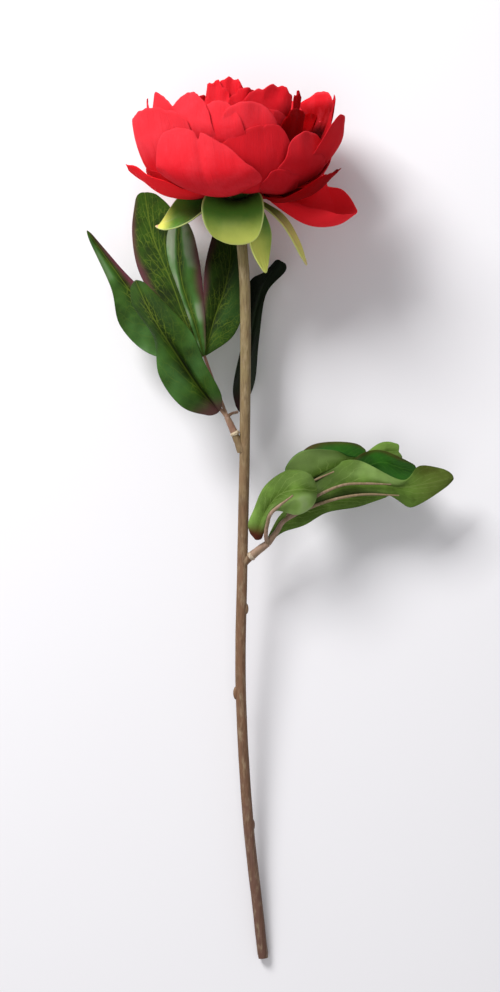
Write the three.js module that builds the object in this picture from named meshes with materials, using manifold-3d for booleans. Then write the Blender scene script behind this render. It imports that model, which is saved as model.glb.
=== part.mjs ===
// An artificial peony, laid on its side: one red bloom on a moulded stem with two leaf sprays.
// Millimetres, +Z up. It rests on z = 0 with the stem along Y and the bloom at the +Y end.
//
// Most places are given in the stem's own plane: x to the right, y along the stem from its cut end
// and z out of the plane. The plane is tilted a little, because the bloom holds its end up.
import * as THREE from "three";
import { mergeVertices } from "three/addons/utils/BufferGeometryUtils.js";
import Module from "manifold-3d";

const wasm = await Module();
wasm.setup();

// ---------------------------------------------------------------- driving dimensions

const RADIANS = Math.PI / 180;
const LIE_TILT = 6.28 * RADIANS; // rise of the stem from its cut end to the bloom
const REST_DEPTH = 0.12; // flattening where the cut end rests on the surface
const STEM_RADIUS = 2.9;
const STEM_SIDES = 10;
const STEM_STEPS = 34;
const FOOTPRINT_CENTRE = [10.25, 237.5]; // middle of the part's box, which goes over the origin

const PETAL_THICKNESS = 0.75;
const LEAF_THICKNESS = 0.7;
const SEPAL_THICKNESS = 1.0;
const PETAL_ROUNDING = 0.42; // 0 leaves a petal's outline square and 0.5 makes it an ellipse
const PETAL_OPEN_AT = 0.75; // share of its length where a petal is as wide as it gets
const PETAL_NARROWS_AT = 0.45; // share of its length where a pointed petal starts to narrow
const TIGHTEST_CURVE = 6; // smallest radius of a petal's cross curve
const RUNNING_GAP = 0.3; // left between pieces that touch
const OVERRUN = 1; // reach of a cut past the face that it opens

const BLOOM_BASE = [-6, 417, 2]; // where the bloom sits on its calyx
const BLOOM_TILT = 6 * RADIANS; // lean of the bloom's axis out of the plane
const PIN_RADIUS = 1.5; // pin on top of the stem, through the calyx into the bloom
const PIN_RISE = 9; // reach of that pin above the calyx
const PIN_SINK = 4; // its reach inside the stem
const CALYX_DEPTH = 7;

const STUB_RADIUS = 1.9; // side stubs of the stem, and the petioles that continue them
const PEG_RADIUS = 1.0; // peg of a stub inside its petiole
const PEG_LENGTH = 5;
const STALK_RADIUS = 0.85; // thin stalks and ribs of the upper spray
const RIB_RADIUS = 1.2; // ribs of the lower spray

// Sides of the round pieces, and [columns, rows] of the grids of petals and leaves.
const CURVE_TENSION = 0.5;
const CORE_SIDES = 16;
const CALYX_SIDES = 14;
const STUB_SIDES = 8;
const STALK_SIDES = 6;
const BUMP_RINGS = [8, 6];
const BOWL_GRID = [6, 5];
const ROW_GRID = [4, 5];
const GUARD_GRID = [5, 5];
const BACK_GRID = [4, 4];
const HEART_GRID = [4, 3];
const SEPAL_GRID = [4, 6];
const LEAF_GRID = [4, 9];

// ---------------------------------------------------------------- solids and surfaces

/** A closed geometry as a solid that can be joined and cut. */
function solidOf(geometry) {
  const bare = geometry.clone();
  bare.deleteAttribute("normal");
  bare.deleteAttribute("uv");
  const merged = mergeVertices(bare, 1e-4);
  return new wasm.Manifold(
    new wasm.Mesh({
      numProp: 3,
      vertProperties: new Float32Array(merged.attributes.position.array),
      triVerts: new Uint32Array(merged.index.array),
    }),
  );
}

/** A solid as a geometry for a mesh. */
function geometryOf(solid) {
  const mesh = solid.getMesh();
  const geometry = new THREE.BufferGeometry();
  geometry.setAttribute("position", new THREE.BufferAttribute(mesh.vertProperties, 3));
  geometry.setIndex(new THREE.BufferAttribute(mesh.triVerts, 1));
  geometry.computeVertexNormals();
  return geometry;
}

/** All the solids of a list joined into one. */
function fuse(solids) {
  return solids.reduce((whole, next) => whole.add(next));
}

/** A smooth line through points given as [x, y, z]. */
function lineThrough(points) {
  return new THREE.CatmullRomCurve3(
    points.map((p) => new THREE.Vector3(...p)),
    false,
    "catmullrom",
    CURVE_TENSION,
  );
}

/** A round bar of one radius along a line. */
function bar(points, radius, sides, steps) {
  const ring = new THREE.Shape();
  for (let i = 0; i < sides; i++) {
    const turn = (2 * Math.PI * i) / sides;
    const place = [radius * Math.cos(turn), radius * Math.sin(turn)];
    if (i === 0) ring.moveTo(...place);
    else ring.lineTo(...place);
  }
  ring.closePath();
  return solidOf(
    new THREE.ExtrudeGeometry(ring, {
      steps,
      bevelEnabled: false,
      extrudePath: lineThrough(points),
    }),
  );
}

/** A closed blade: a grid of surface points thickened along its own normals.
 * Both faces are split into triangles alike, so they keep apart where the blade waves. */
function blade([cols, rows], pointAt, thickness) {
  const index = (i, j) => j * (cols + 1) + i;
  const middle = [];
  for (let j = 0; j <= rows; j++)
    for (let i = 0; i <= cols; i++) middle.push(pointAt(i / cols, j / rows));
  const normals = middle.map(() => new THREE.Vector3());
  const cells = [];
  for (let j = 0; j < rows; j++)
    for (let i = 0; i < cols; i++) {
      const [a, b] = [index(i, j), index(i + 1, j)];
      const [c, d] = [index(i + 1, j + 1), index(i, j + 1)];
      const forward = i < cols / 2 === j < rows / 2;
      if (forward) cells.push([a, b, d], [b, c, d]);
      else cells.push([a, b, c], [a, c, d]);
    }
  for (const [a, b, c] of cells) {
    const across = middle[b].clone().sub(middle[a]);
    const face = across.cross(middle[c].clone().sub(middle[a]));
    for (const k of [a, b, c]) normals[k].add(face);
  }
  const place = [];
  for (const side of [0.5, -0.5])
    middle.forEach((p, k) => {
      const offset = normals[k].clone().normalize().multiplyScalar(side * thickness);
      place.push(...p.clone().add(offset).toArray());
    });
  const under = middle.length;
  const faces = cells.flatMap(([a, b, c]) => [a, b, c, a + under, c + under, b + under]);
  const rim = [];
  for (let i = 0; i < cols; i++) rim.push(index(i, 0));
  for (let j = 0; j < rows; j++) rim.push(index(cols, j));
  for (let i = cols; i > 0; i--) rim.push(index(i, rows));
  for (let j = rows; j > 0; j--) rim.push(index(0, j));
  rim.forEach((a, k) => {
    const b = rim[(k + 1) % rim.length];
    faces.push(a, a + under, b + under, a, b + under, b);
  });
  const geometry = new THREE.BufferGeometry();
  geometry.setAttribute("position", new THREE.Float32BufferAttribute(place, 3));
  geometry.setIndex(faces);
  return solidOf(geometry);
}

// ---------------------------------------------------------------- the bloom's own frame

const AXIS = new THREE.Vector3(0, Math.cos(BLOOM_TILT), Math.sin(BLOOM_TILT));
const FRONT = new THREE.Vector3(0, -Math.sin(BLOOM_TILT), Math.cos(BLOOM_TILT));
const RIGHT = new THREE.Vector3(1, 0, 0);

/** A place round the bloom's axis: radius, height along the axis and turn in degrees.
 * A turn of 0 is to the right, 90 to the front, 180 to the left and 270 to the underside. */
function roundAxis(radius, height, turn, sideways = 0) {
  const [c, s] = [Math.cos(turn * RADIANS), Math.sin(turn * RADIANS)];
  return new THREE.Vector3(...BLOOM_BASE)
    .addScaledVector(AXIS, height)
    .addScaledVector(RIGHT, radius * c - sideways * s)
    .addScaledVector(FRONT, radius * s + sideways * c);
}

/** Turns a lathe geometry, whose axis is Y, into the bloom's frame. */
function ontoAxis(geometry) {
  const turn = new THREE.Matrix4().makeBasis(RIGHT, AXIS, FRONT);
  turn.setPosition(...BLOOM_BASE);
  return solidOf(geometry.applyMatrix4(turn));
}

/** A round solid about the bloom's axis from its [radius, height] outline. */
function turned(outline, sides) {
  const points = outline.map(([r, h]) => new THREE.Vector2(r, h));
  return ontoAxis(new THREE.LatheGeometry(points, sides));
}

/** The point of a petal at a place on a disc, x across and y from root to tip.
 * az: turn round the axis. line: the [radius, height] points of its midline, from root to tip.
 * wid: its width laid flat. claw: share of that width left at the root. point: share of the width
 * lost at the tip. cup: radius of its cross curve as a share of its distance from the axis.
 * roll: slope across it. wave: [height, waves across, phase] of its edge. notch: [depth, place
 * across, width] of a cut in its edge. sway: sideways shift of its tip. */
function petalPoint(petal, x, y) {
  const { az, midline, wid, claw = 0.5, point = 0, cup = 1, roll = 0 } = petal;
  const { wave = [0, 2, 0], notch = [0, 0, 1], sway = 0 } = petal;
  const cut = notch[0] * Math.exp(-(((x - notch[1]) / notch[2]) ** 2)) * Math.max(0, y);
  const along = (y - cut + 1) / 2;
  const { x: radius, y: height } = midline.getPoint(along);
  const { x: outwards, y: upwards } = midline.getTangent(along);
  const open = claw + (1 - claw) * THREE.MathUtils.smoothstep(along, 0, PETAL_OPEN_AT);
  const narrow = 1 - point * THREE.MathUtils.smoothstep(along, PETAL_NARROWS_AT, 1);
  const across = x * (wid / 2) * open * narrow;
  const curve = Math.max(TIGHTEST_CURVE, cup * radius);
  const sideways = curve * Math.sin(across / curve);
  const ripple = wave[0] * Math.cos(Math.PI * wave[1] * x + wave[2]) * along ** 2;
  const inwards = curve * (1 - Math.cos(across / curve)) + ripple + roll * across;
  return roundAxis(
    radius - upwards * inwards,
    height + outwards * inwards,
    az,
    sideways + sway * along ** 2,
  );
}

/** A petal or sepal as a solid; the square of the grid is rounded towards a disc. */
function petal(shape, grid, thickness = PETAL_THICKNESS) {
  const midline = lineThrough(shape.line.map(([r, h]) => [r, h, 0]));
  const onDisc = (a, b) => {
    const [s, t] = [2 * a - 1, 2 * b - 1];
    const x = s * Math.sqrt(1 - (t * t) * PETAL_ROUNDING);
    const y = t * Math.sqrt(1 - (s * s) * PETAL_ROUNDING);
    return petalPoint({ ...shape, midline }, x, y);
  };
  return blade(grid, onDisc, thickness);
}

// ---------------------------------------------------------------- the bloom's petals

// The petals of the outer bowl and the second row on the front, each where it is seen.
const BOWL_PETALS = [
  {
    az: 105,
    line: [[10, 2.5], [25, -2.6], [42, -2], [52, 9], [51, 29]],
    wid: 60,
    sway: 8,
    notch: [0.28, 0.1, 0.1],
  },
  { az: 77, line: [[10, 2.5], [24, -1.2], [37, 1.5], [46, 14], [47, 33]], wid: 52, sway: -2 },
  { az: 38, line: [[10, 3], [26, 0], [41, 4], [50, 15], [49, 31]], wid: 36, cup: 0.8 },
  { az: 155, line: [[10, 3], [28, -1], [47, 6], [56, 22], [57, 42]], wid: 54, cup: 0.8 },
  { az: 8, line: [[10, 3], [27, 0], [44, 9], [54, 24], [59, 42]], wid: 34 },
  { az: 20, line: [[10, 2], [24, -3], [42, 2], [56, 12]], wid: 42, cup: 0.8, point: 0.3 },
];
const SECOND_PETALS = [
  { az: 153, line: [[9, 5], [24, 8], [39, 20], [47, 36], [48, 53]], wid: 36, point: 0.3, sway: 4 },
  { az: 176, line: [[9, 5], [26, 8], [43, 18], [52, 32], [54, 47]], wid: 26, point: 0.4 },
  { az: 127, line: [[9, 5], [24, 8], [38, 20], [45, 36], [45, 52]], wid: 34 },
  { az: 107, line: [[9, 5], [22, 7], [35, 17], [42, 31], [42, 46]], wid: 30 },
  { az: 82, line: [[9, 5], [24, 6], [37, 15], [44, 29], [44, 45.5]], wid: 34 },
  { az: 330, line: [[9, 5], [26, 8], [42, 20], [51, 38], [54, 56]], wid: 44 },
  { az: 353, line: [[9, 5], [26, 8], [42, 20], [51, 36], [53.5, 53]], wid: 20 },
];

// The wide guard petals below the bowl: two that spread, and two that carry it on the surface.
const GUARD_PETALS = [
  {
    az: 163,
    line: [[10, 2], [24, -5], [40, -3], [53, 4], [62, 13]],
    wid: 42,
    cup: 0.8,
    point: 0.4,
  },
  {
    az: 4,
    line: [[10, 2], [22, -7], [38, -17], [53, -18], [65, -12]],
    wid: 50,
    cup: 0.4,
    roll: -0.15,
  },
  { az: 236, line: [[10, 2], [26, -3], [43, 1], [55, 12], [60, 26]], wid: 52 },
  { az: 304, line: [[10, 2], [26, -3], [43, 1], [55, 12], [60, 26]], wid: 52 },
];

/** A ring of petals by rule: every second one is set a little inwards, and each waves its own way. */
function ringOf(turns, shape) {
  const step = 1.4;
  const fullFrom = 30;
  return turns.map((az, k) => {
    const inner = k % 2 ? step : 0;
    const line = shape.line.map(([r, h]) => [r - inner * Math.min(1, r / fullFrom), h]);
    return { ...shape, az, line, wave: [shape.ripple ?? 0, 2, 1.7 * k] };
  });
}

/** Evenly spread turns round the axis. */
function evenTurns(count, first) {
  return Array.from({ length: count }, (_, k) => first + (360 * k) / count);
}

const BACK_PETALS = [
  ...ringOf([203, 246, 290, 332], { line: [[10, 3], [26, 0], [42, 4], [50, 17], [51, 40]], wid: 50 }),
  ...ringOf([200, 236, 272, 304], { line: [[9, 5], [23, 8], [37, 20], [45, 36], [46, 53]], wid: 38 }),
];
const MIDDLE_PETALS = ringOf(evenTurns(7, 10), {
  line: [[8, 9], [18, 14], [28, 26], [34, 40], [34, 53]],
  wid: 34,
  ripple: 1.2,
});
const INNER_PETALS = [
  { az: 118, line: [[6, 14], [12, 26], [18, 42], [18, 61]], wid: 28, wave: [1.4, 2, 1] },
  ...ringOf(evenTurns(5, 172), { line: [[6, 12], [13, 26], [20, 42], [21, 57]], wid: 26, ripple: 1.8 }),
  ...ringOf(evenTurns(3, 55), { line: [[3, 16], [6, 30], [8, 42], [9, 55]], wid: 16, ripple: 1.8 }),
];

/** The largest body of a solid, without loose scraps and with its sealed hollows filled. */
function wholeOf(solid) {
  const bodies = solid.decompose();
  return bodies.reduce((most, next) => (next.volume() > most.volume() ? next : most));
}

/** The whole flower head on its small core, which the pin of the stem goes into. */
function bloomSolid() {
  const core = turned(
    [
      [0, RUNNING_GAP],
      [11, RUNNING_GAP],
      [18, 3],
      [21, 9],
      [19, 18],
      [13, 28],
      [5, 35],
      [0, 36],
    ],
    CORE_SIDES,
  );
  const petals = [
    ...BOWL_PETALS.map((shape) => petal(shape, BOWL_GRID)),
    ...SECOND_PETALS.map((shape) => petal(shape, ROW_GRID)),
    ...GUARD_PETALS.map((shape) => petal(shape, GUARD_GRID)),
    ...BACK_PETALS.map((shape) => petal(shape, BACK_GRID)),
    ...MIDDLE_PETALS.map((shape) => petal(shape, HEART_GRID)),
    ...INNER_PETALS.map((shape) => petal(shape, HEART_GRID)),
  ];
  const hole = turned(
    [
      [0, -OVERRUN],
      [PIN_RADIUS + RUNNING_GAP, -OVERRUN],
      [PIN_RADIUS + RUNNING_GAP, PIN_RISE + RUNNING_GAP],
      [0, PIN_RISE + RUNNING_GAP],
    ],
    STUB_SIDES,
  );
  return wholeOf(fuse([core, ...petals])).subtract(hole);
}

// ---------------------------------------------------------------- the calyx

// Five sepals that hang from the calyx: front, left, right, lower right and underside.
const SEPALS = [
  {
    az: 98,
    line: [[5, -5], [14, -5.4], [20, -10], [22, -18.5], [17, -29]],
    wid: 36,
    cup: 1.1,
    claw: 0.7,
  },
  {
    az: 173,
    line: [[5, -4], [18, -8], [30, -13], [39, -17], [46, -21]],
    wid: 24,
    cup: 0.4,
    roll: 0.3,
    point: 0.4,
  },
  { az: 0, line: [[5, -4], [14, -9], [22, -18], [30, -29], [38, -40]], wid: 18, cup: 0.6 },
  {
    az: 50,
    line: [[5, -4], [12, -9], [15, -20], [16.5, -33], [16, -44]],
    wid: 19,
    cup: 0.9,
    point: 0.6,
    sway: -2,
  },
  { az: 262, line: [[5, -4], [16, -6], [26, -13], [32, -23]], wid: 24, cup: 0.8 },
];

/** The moulded cup under the bloom with its sepals, bored for the stem's pin. */
function calyxSolid() {
  const bottom = -CALYX_DEPTH;
  const cup = turned(
    [
      [0, bottom],
      [4.2, bottom],
      [6.5, bottom + 2],
      [11, 0],
      [0, 0],
    ],
    CALYX_SIDES,
  );
  const sepals = SEPALS.map((shape) => petal(shape, SEPAL_GRID, SEPAL_THICKNESS));
  const hole = turned(
    [
      [0, bottom - OVERRUN],
      [PIN_RADIUS + RUNNING_GAP, bottom - OVERRUN],
      [PIN_RADIUS + RUNNING_GAP, OVERRUN],
      [0, OVERRUN],
    ],
    STUB_SIDES,
  );
  return fuse([cup, ...sepals]).subtract(hole);
}

// ---------------------------------------------------------------- the stem

const STEM_LINE = [
  [7.2, -0.5, 0],
  [4.4, 25, 0],
  [-1.6, 80, 0],
  [-5.4, 150, 0],
  [-4.6, 217, 0],
  [-3.2, 290, 0],
  [-3.0, 358, 0],
  [-4.6, 390, 0.2],
];
const STEM_BUMPS = [
  { at: [-2.6, 190, 0], size: [1.8, 3, 1.8] },
  { at: [-7.6, 144, 0], size: [1.6, 3.2, 1.8] },
  { at: [0.9, 72, 0], size: [1.8, 3.4, 1.8] },
];
const UPPER_STUB = [
  [-4.4, 276, 0],
  [-6.6, 281, 1],
  [-8.6, 286, 1.4],
];
const LOWER_STUB = [
  [-4.8, 213.4, 0],
  [-2, 216.2, 0.8],
  [1, 219, 1.6],
];

/** A straight stretch that carries a line on past its last point. */
function onwards(line, length) {
  const [before, end] = line.slice(-2).map((p) => new THREE.Vector3(...p));
  const step = end.clone().sub(before).normalize().multiplyScalar(length);
  return [line.at(-1), end.clone().add(step).toArray()];
}

/** The moulded stem: its bumps, its two side stubs with their pegs and the pin on top. */
function stemSolid() {
  const top = roundAxis(0, -CALYX_DEPTH - RUNNING_GAP, 0).toArray();
  const pinTop = roundAxis(0, PIN_RISE, 0).toArray();
  const pinFoot = roundAxis(0, -CALYX_DEPTH - PIN_SINK, 0).toArray();
  const shaft = bar([...STEM_LINE, top], STEM_RADIUS, STEM_SIDES, STEM_STEPS);
  const bumps = STEM_BUMPS.map(({ at, size }) => {
    const knob = new THREE.SphereGeometry(1, ...BUMP_RINGS);
    return solidOf(knob.scale(...size).translate(...at));
  });
  const stubs = [UPPER_STUB, LOWER_STUB].flatMap((line) => [
    bar(line, STUB_RADIUS, STUB_SIDES, 2),
    bar(onwards(line, PEG_LENGTH), PEG_RADIUS, STUB_SIDES, 1),
  ]);
  const pin = bar([pinFoot, pinTop], PIN_RADIUS, STUB_SIDES, 1);
  return fuse([shaft, pin, ...bumps, ...stubs]);
}

// ---------------------------------------------------------------- leaves

// Each lobe of a leaf is drawn by three lines from its base to its tip: its rib and its edges.
// bulge lifts the middle of each half out of the flat, towards the front when positive.
const FRONT_LEAF = [
  {
    rib: [[-17, 297, 3], [-28, 310, 10], [-44, 334, 15], [-54, 351, 14], [-62, 368.5, 9]],
    left: [
      [-20, 295.5, 4], [-36, 301, 9], [-49.8, 318, 11],
      [-54, 337, 12], [-64, 355, 7], [-65, 367, 6],
    ],
    right: [
      [-15.2, 299, 4], [-16, 308, 9], [-25, 324.5, 15],
      [-32, 340.5, 17], [-50, 360, 12], [-59, 369, 9],
    ],
    bulge: 1,
  },
];
const SIDE_LEAF = [
  {
    rib: [[-25.7, 327.6, -4], [-42, 340, -8], [-61.7, 359.5, -12], [-80, 384, -14], [-90, 398, -12]],
    left: [[-26.8, 326.5, -5], [-53.9, 329, -11], [-71.5, 345, -14], [-77, 367, -15], [-90.5, 396, -13]],
    right: [[-25.7, 328.7, -4], [-40, 345, -8], [-58, 364, -14], [-76, 383, -17], [-88.6, 397.8, -12]],
    bulge: -1,
  },
  {
    rib: [[-25.7, 327.6, -4], [-34, 344.3, -8], [-43, 369, -13], [-53.7, 395, -18], [-58, 418, -20]],
    left: [[-27.4, 328.7, -5], [-44, 349.6, -12], [-62, 374, -19], [-66.4, 398, -23], [-62.5, 419, -21]],
    right: [[-24.6, 330, -4], [-27, 350, -7], [-36, 381, -14], [-42, 408, -18], [-54, 419.5, -20]],
    bulge: 1,
  },
  {
    rib: [[-25.2, 327.5, -2.4], [-30, 346, -4], [-37.2, 368, -6], [-39.6, 388, -10], [-40.8, 401.6, -14]],
    left: [[-26.8, 330.3, -3], [-36, 356, -7.5], [-44.5, 380, -10], [-46, 394, -13], [-43.6, 400.6, -15]],
    right: [[-24.1, 330.2, -2], [-24.6, 350, -5], [-27, 376, -10], [-30.5, 394, -13], [-36, 402, -15]],
    bulge: 1.2,
  },
  {
    rib: [[-25.2, 327, -4], [-20, 348, -8], [-13.8, 366, -12], [-10.8, 385, -16], [-12.2, 403.6, -21]],
    left: [[-26.8, 330.3, -4], [-26, 352, -6], [-25, 376, -10], [-21, 395, -16], [-16.7, 404.7, -21]],
    right: [[-24.1, 328.2, -5], [-8.8, 340, -10], [-2.2, 360, -14.5], [-1, 382, -17], [-7.8, 403.7, -22]],
    bulge: 1,
  },
];
const REAR_LEAF = [
  {
    rib: [[-6, 297.6, -8], [-2.6, 319, -15], [1.4, 345, -19], [6.7, 368.6, -21], [17, 381, -20]],
    left: [[-7.5, 299.3, -8], [-9.4, 312, -14], [-4, 340, -20], [-1, 372, -24], [15, 383, -21]],
    right: [
      [-4.6, 297.3, -9], [2.6, 314, -14], [5, 338, -19],
      [9, 364, -21], [19.6, 376, -20], [19.6, 381.5, -20],
    ],
    bulge: -1,
  },
];

const LOWER_FRONT_LEAF = [
  {
    rib: [[3, 227.6, 6], [7.5, 241, 12], [15.6, 252, 18], [26, 255, 20], [36.5, 254, 14]],
    left: [
      [0.5, 230, 5], [1, 243, 9], [7.6, 257.4, 13],
      [20, 265.5, 14], [31.3, 263.9, 13], [36.2, 258, 12],
    ],
    right: [
      [6, 227.1, 5], [9.6, 237, 10.5], [14, 243.4, 14.5],
      [25, 241.2, 16], [33, 245, 14], [36.2, 250.5, 13],
    ],
    bulge: 1.5,
  },
];
const LOWER_LONG_LEAF = [
  {
    rib: [[9.8, 227.8, -1], [20, 239.5, 1], [39.2, 247.7, 2], [60, 252, 2], [81, 251.5, 1]],
    left: [[9.4, 229, -1], [19, 243.5, 0], [39, 252, 0], [60, 255.4, 1], [80.6, 254.2, 1]],
    right: [
      [11.5, 227, -1], [18.6, 233.3, -2], [30, 237, -3],
      [39.3, 242.5, -2], [60, 245.8, -2], [81.8, 249.5, 0],
    ],
    bulge: 1,
  },
  {
    rib: [[24, 242, 0.8], [45, 256, 4], [65, 258, 5], [85, 256.5, 2], [110, 260.4, -3]],
    left: [
      [23, 244, 0.8], [38, 260, 3], [50, 267, 5], [62, 271, 6],
      [83, 260, 3], [93, 267.3, -2], [110.5, 264, -4],
    ],
    right: [
      [26, 241.6, 0.8], [50, 251.5, 2.6], [72, 253.3, 2.2],
      [86, 245.5, 0.6], [97, 250, -1], [111, 259.7, -4],
    ],
    bulge: 1,
  },
  {
    rib: [[48, 259, 4.8], [60, 266, -1], [72, 270, -4], [82, 267, -4], [91.5, 265, -4]],
    left: [[46.5, 261, 4.8], [60, 274, -5], [70, 277, -8], [82, 273, -7], [91.5, 268, -5]],
    right: [[50, 257, 4.6], [64, 262, 0.5], [74, 260, 0], [84, 258.5, -1], [90.5, 262, -3]],
    bulge: -1,
  },
  {
    rib: [[60, 266, -4], [68, 272, -7], [75, 275.5, -10], [82, 276, -12]],
    left: [[57, 269, -5], [66, 277, -9], [74, 281.5, -12], [82, 279.6, -13]],
    right: [[63, 263, -4], [71, 268, -7], [79, 270, -10], [83.8, 273, -12]],
    bulge: 1,
  },
];
const LOWER_TOP_LEAF = [
  {
    rib: [[25, 255, -3], [36, 261.8, -3], [46, 266.4, -4], [55, 270.5, -6], [62.5, 273, -8]],
    left: [[22, 256, -6], [26, 272, -11], [36, 280, -13], [55, 280.6, -14], [64, 276, -11]],
    right: [[22, 259, 1], [19.2, 267, 2], [28, 275.6, 2], [45, 276.8, 0], [54.5, 272.5, -5]],
    bulge: 1,
  },
];

/** The point of a lobe: side runs from -1 at its left edge to 1 at its right, t from base to tip. */
function lobePoint(lobe, side, t) {
  const rib = lobe.ribLine.getPoint(t);
  const edge = (side < 0 ? lobe.leftLine : lobe.rightLine).getPoint(t);
  const tangent = lobe.ribLine.getTangent(t);
  const across = edge.sub(rib);
  const lift = across.clone().cross(tangent).normalize();
  if (side < 0) lift.negate();
  const share = Math.abs(side);
  const height = lobe.bulge * 4 * share * (1 - share) * Math.sin(Math.PI * t);
  return rib.addScaledVector(across, share).addScaledVector(lift, height);
}

/** A lobe with its three lines made ready. */
function drawn(lobe) {
  return {
    ...lobe,
    ribLine: lineThrough(lobe.rib),
    leftLine: lineThrough(lobe.left),
    rightLine: lineThrough(lobe.right),
  };
}

/** A leaf as one solid from its lobes. */
function leafSolid(lobes) {
  return fuse(
    lobes.map(drawn).map((lobe) =>
      blade(LEAF_GRID, (a, b) => lobePoint(lobe, 2 * a - 1, b), LEAF_THICKNESS),
    ),
  );
}

// ---------------------------------------------------------------- stalks of the two sprays

/** A petiole that continues a stub, bored for the stub's peg. */
function petiole(stub, reach) {
  const ahead = onwards(stub, RUNNING_GAP).at(-1);
  const sleeve = bar([ahead, ...reach], STUB_RADIUS, STUB_SIDES, 3);
  const peg = onwards(stub, PEG_LENGTH + RUNNING_GAP);
  return sleeve.subtract(bar(peg, PEG_RADIUS + RUNNING_GAP, STUB_SIDES, 1));
}

const UPPER_FORK = [-12.6, 294.6, 1.8];
const UPPER_STALKS = [
  { line: [[-14.6, 297, 1.6], [-18, 301, 3.2]], steps: 3 },
  { line: [[-15, 301.5, -1], [-20, 314, -4.6], [-25.2, 326.6, -4.6]], steps: 5 },
  { line: [[-10, 296.5, -2], [-7, 297.6, -7.4]], steps: 3 },
];

/** The stalks of the upper spray: a petiole that forks to three leaves. */
function upperStalksSolid() {
  const stalks = UPPER_STALKS.map(({ line, steps }) =>
    bar([UPPER_FORK, ...line], STALK_RADIUS, STALK_SIDES, steps),
  );
  return fuse([petiole(UPPER_STUB, [[-10.4, 290, 1.6], UPPER_FORK]), ...stalks]);
}

const LOWER_FORK = [9.8, 225.8, 2.4];
const LONG_LEAF_FORK = [20, 239, 4.2];
const LOWER_STALKS = [
  {
    from: LOWER_FORK,
    line: [[8.6, 230, 8.8], [9.4, 236.5, 13.8], [12, 243, 18.2], [23, 251.8, 22.8]],
    radius: RIB_RADIUS,
    steps: 9,
  },
  {
    from: LOWER_FORK,
    line: [[14.5, 232, 3.4], LONG_LEAF_FORK, [39.5, 247.8, 4.4], [60, 252.2, 5.2], [81, 251.8, 5.4]],
    radius: RIB_RADIUS,
    steps: 10,
  },
  {
    from: LONG_LEAF_FORK,
    line: [[30, 247, 5], [38, 252.4, 6.4], [50.5, 257.5, 7.4], [63, 258.2, 7.6], [76.6, 257.8, 6.6]],
    radius: RIB_RADIUS,
    steps: 7,
  },
  {
    from: LONG_LEAF_FORK,
    line: [[23, 247, 1.8], [28, 255.5, -0.4], [36, 260.4, -1.4], [46, 264.8, -2.2]],
    radius: STALK_RADIUS,
    steps: 6,
  },
];

/** The stalks of the lower spray: a petiole that forks to the ribs glued on the leaves. */
function lowerStalksSolid() {
  const stalks = LOWER_STALKS.map(({ from, line, radius, steps }) =>
    bar([from, ...line], radius, STALK_SIDES, steps),
  );
  return fuse([petiole(LOWER_STUB, [[5, 222, 2.2], LOWER_FORK]), ...stalks]);
}

// ---------------------------------------------------------------- the assembled part

const lay = new THREE.Matrix4()
  .makeRotationX(LIE_TILT)
  .setPosition(-FOOTPRINT_CENTRE[0], -FOOTPRINT_CENTRE[1], STEM_RADIUS - REST_DEPTH);
const SURFACE_BLOCK = 800;

/** A solid trimmed flat where it meets the surface that the part lies on. */
function restedOnSurface(solid) {
  const block = new THREE.BoxGeometry(SURFACE_BLOCK, SURFACE_BLOCK, SURFACE_BLOCK);
  block.translate(0, 0, -SURFACE_BLOCK / 2);
  block.applyMatrix4(lay.clone().invert());
  return solid.subtract(solidOf(block));
}

const COLOURS = {
  petal: { color: 0xe32338, roughness: 0.85 },
  calyx: { color: 0x6f9a3c, roughness: 0.6 },
  stem: { color: 0x8b7153, roughness: 0.6 },
  stalk: { color: 0x95705f, roughness: 0.55 },
  leaf: { color: 0x2f5a22, roughness: 0.5 },
  leafBack: { color: 0x6f9848, roughness: 0.6 },
};

const peony = new THREE.Group();
peony.applyMatrix4(lay);

/** Adds a solid to the part as a named mesh. */
function add(name, solid, look) {
  const material = new THREE.MeshStandardMaterial({ metalness: 0, ...COLOURS[look] });
  const mesh = new THREE.Mesh(geometryOf(solid), material);
  mesh.name = name;
  peony.add(mesh);
}

add("main_stem", restedOnSurface(stemSolid()), "stem");
add("calyx", calyxSolid(), "calyx");
add("bloom", restedOnSurface(bloomSolid()), "petal");
add("upper_stalks", upperStalksSolid(), "stalk");
add("upper_front_leaf", leafSolid(FRONT_LEAF), "leaf");
add("upper_side_leaf", leafSolid(SIDE_LEAF), "leaf");
add("upper_rear_leaf", leafSolid(REAR_LEAF), "leaf");
add("lower_stalks", lowerStalksSolid(), "stalk");
add("lower_front_leaf", leafSolid(LOWER_FRONT_LEAF), "leafBack");
add("lower_long_leaf", leafSolid(LOWER_LONG_LEAF), "leafBack");
add("lower_top_leaf", leafSolid(LOWER_TOP_LEAF), "leafBack");

const part = new THREE.Group();
part.add(peony);

export default part;
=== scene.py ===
"""An artificial peony lying on its side: a red silk bloom on a moulded stem with leaf sprays.

Lengths inside the classes are millimetres in the stem's own plane: x to the right, y along the stem
from its cut end, z out of the plane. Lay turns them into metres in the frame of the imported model.
"""

import logging
import math
from collections.abc import Callable, Sequence
from dataclasses import dataclass, field, replace
from enum import Enum

import bmesh
import bpy
from mathutils import Matrix, Vector, noise


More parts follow.
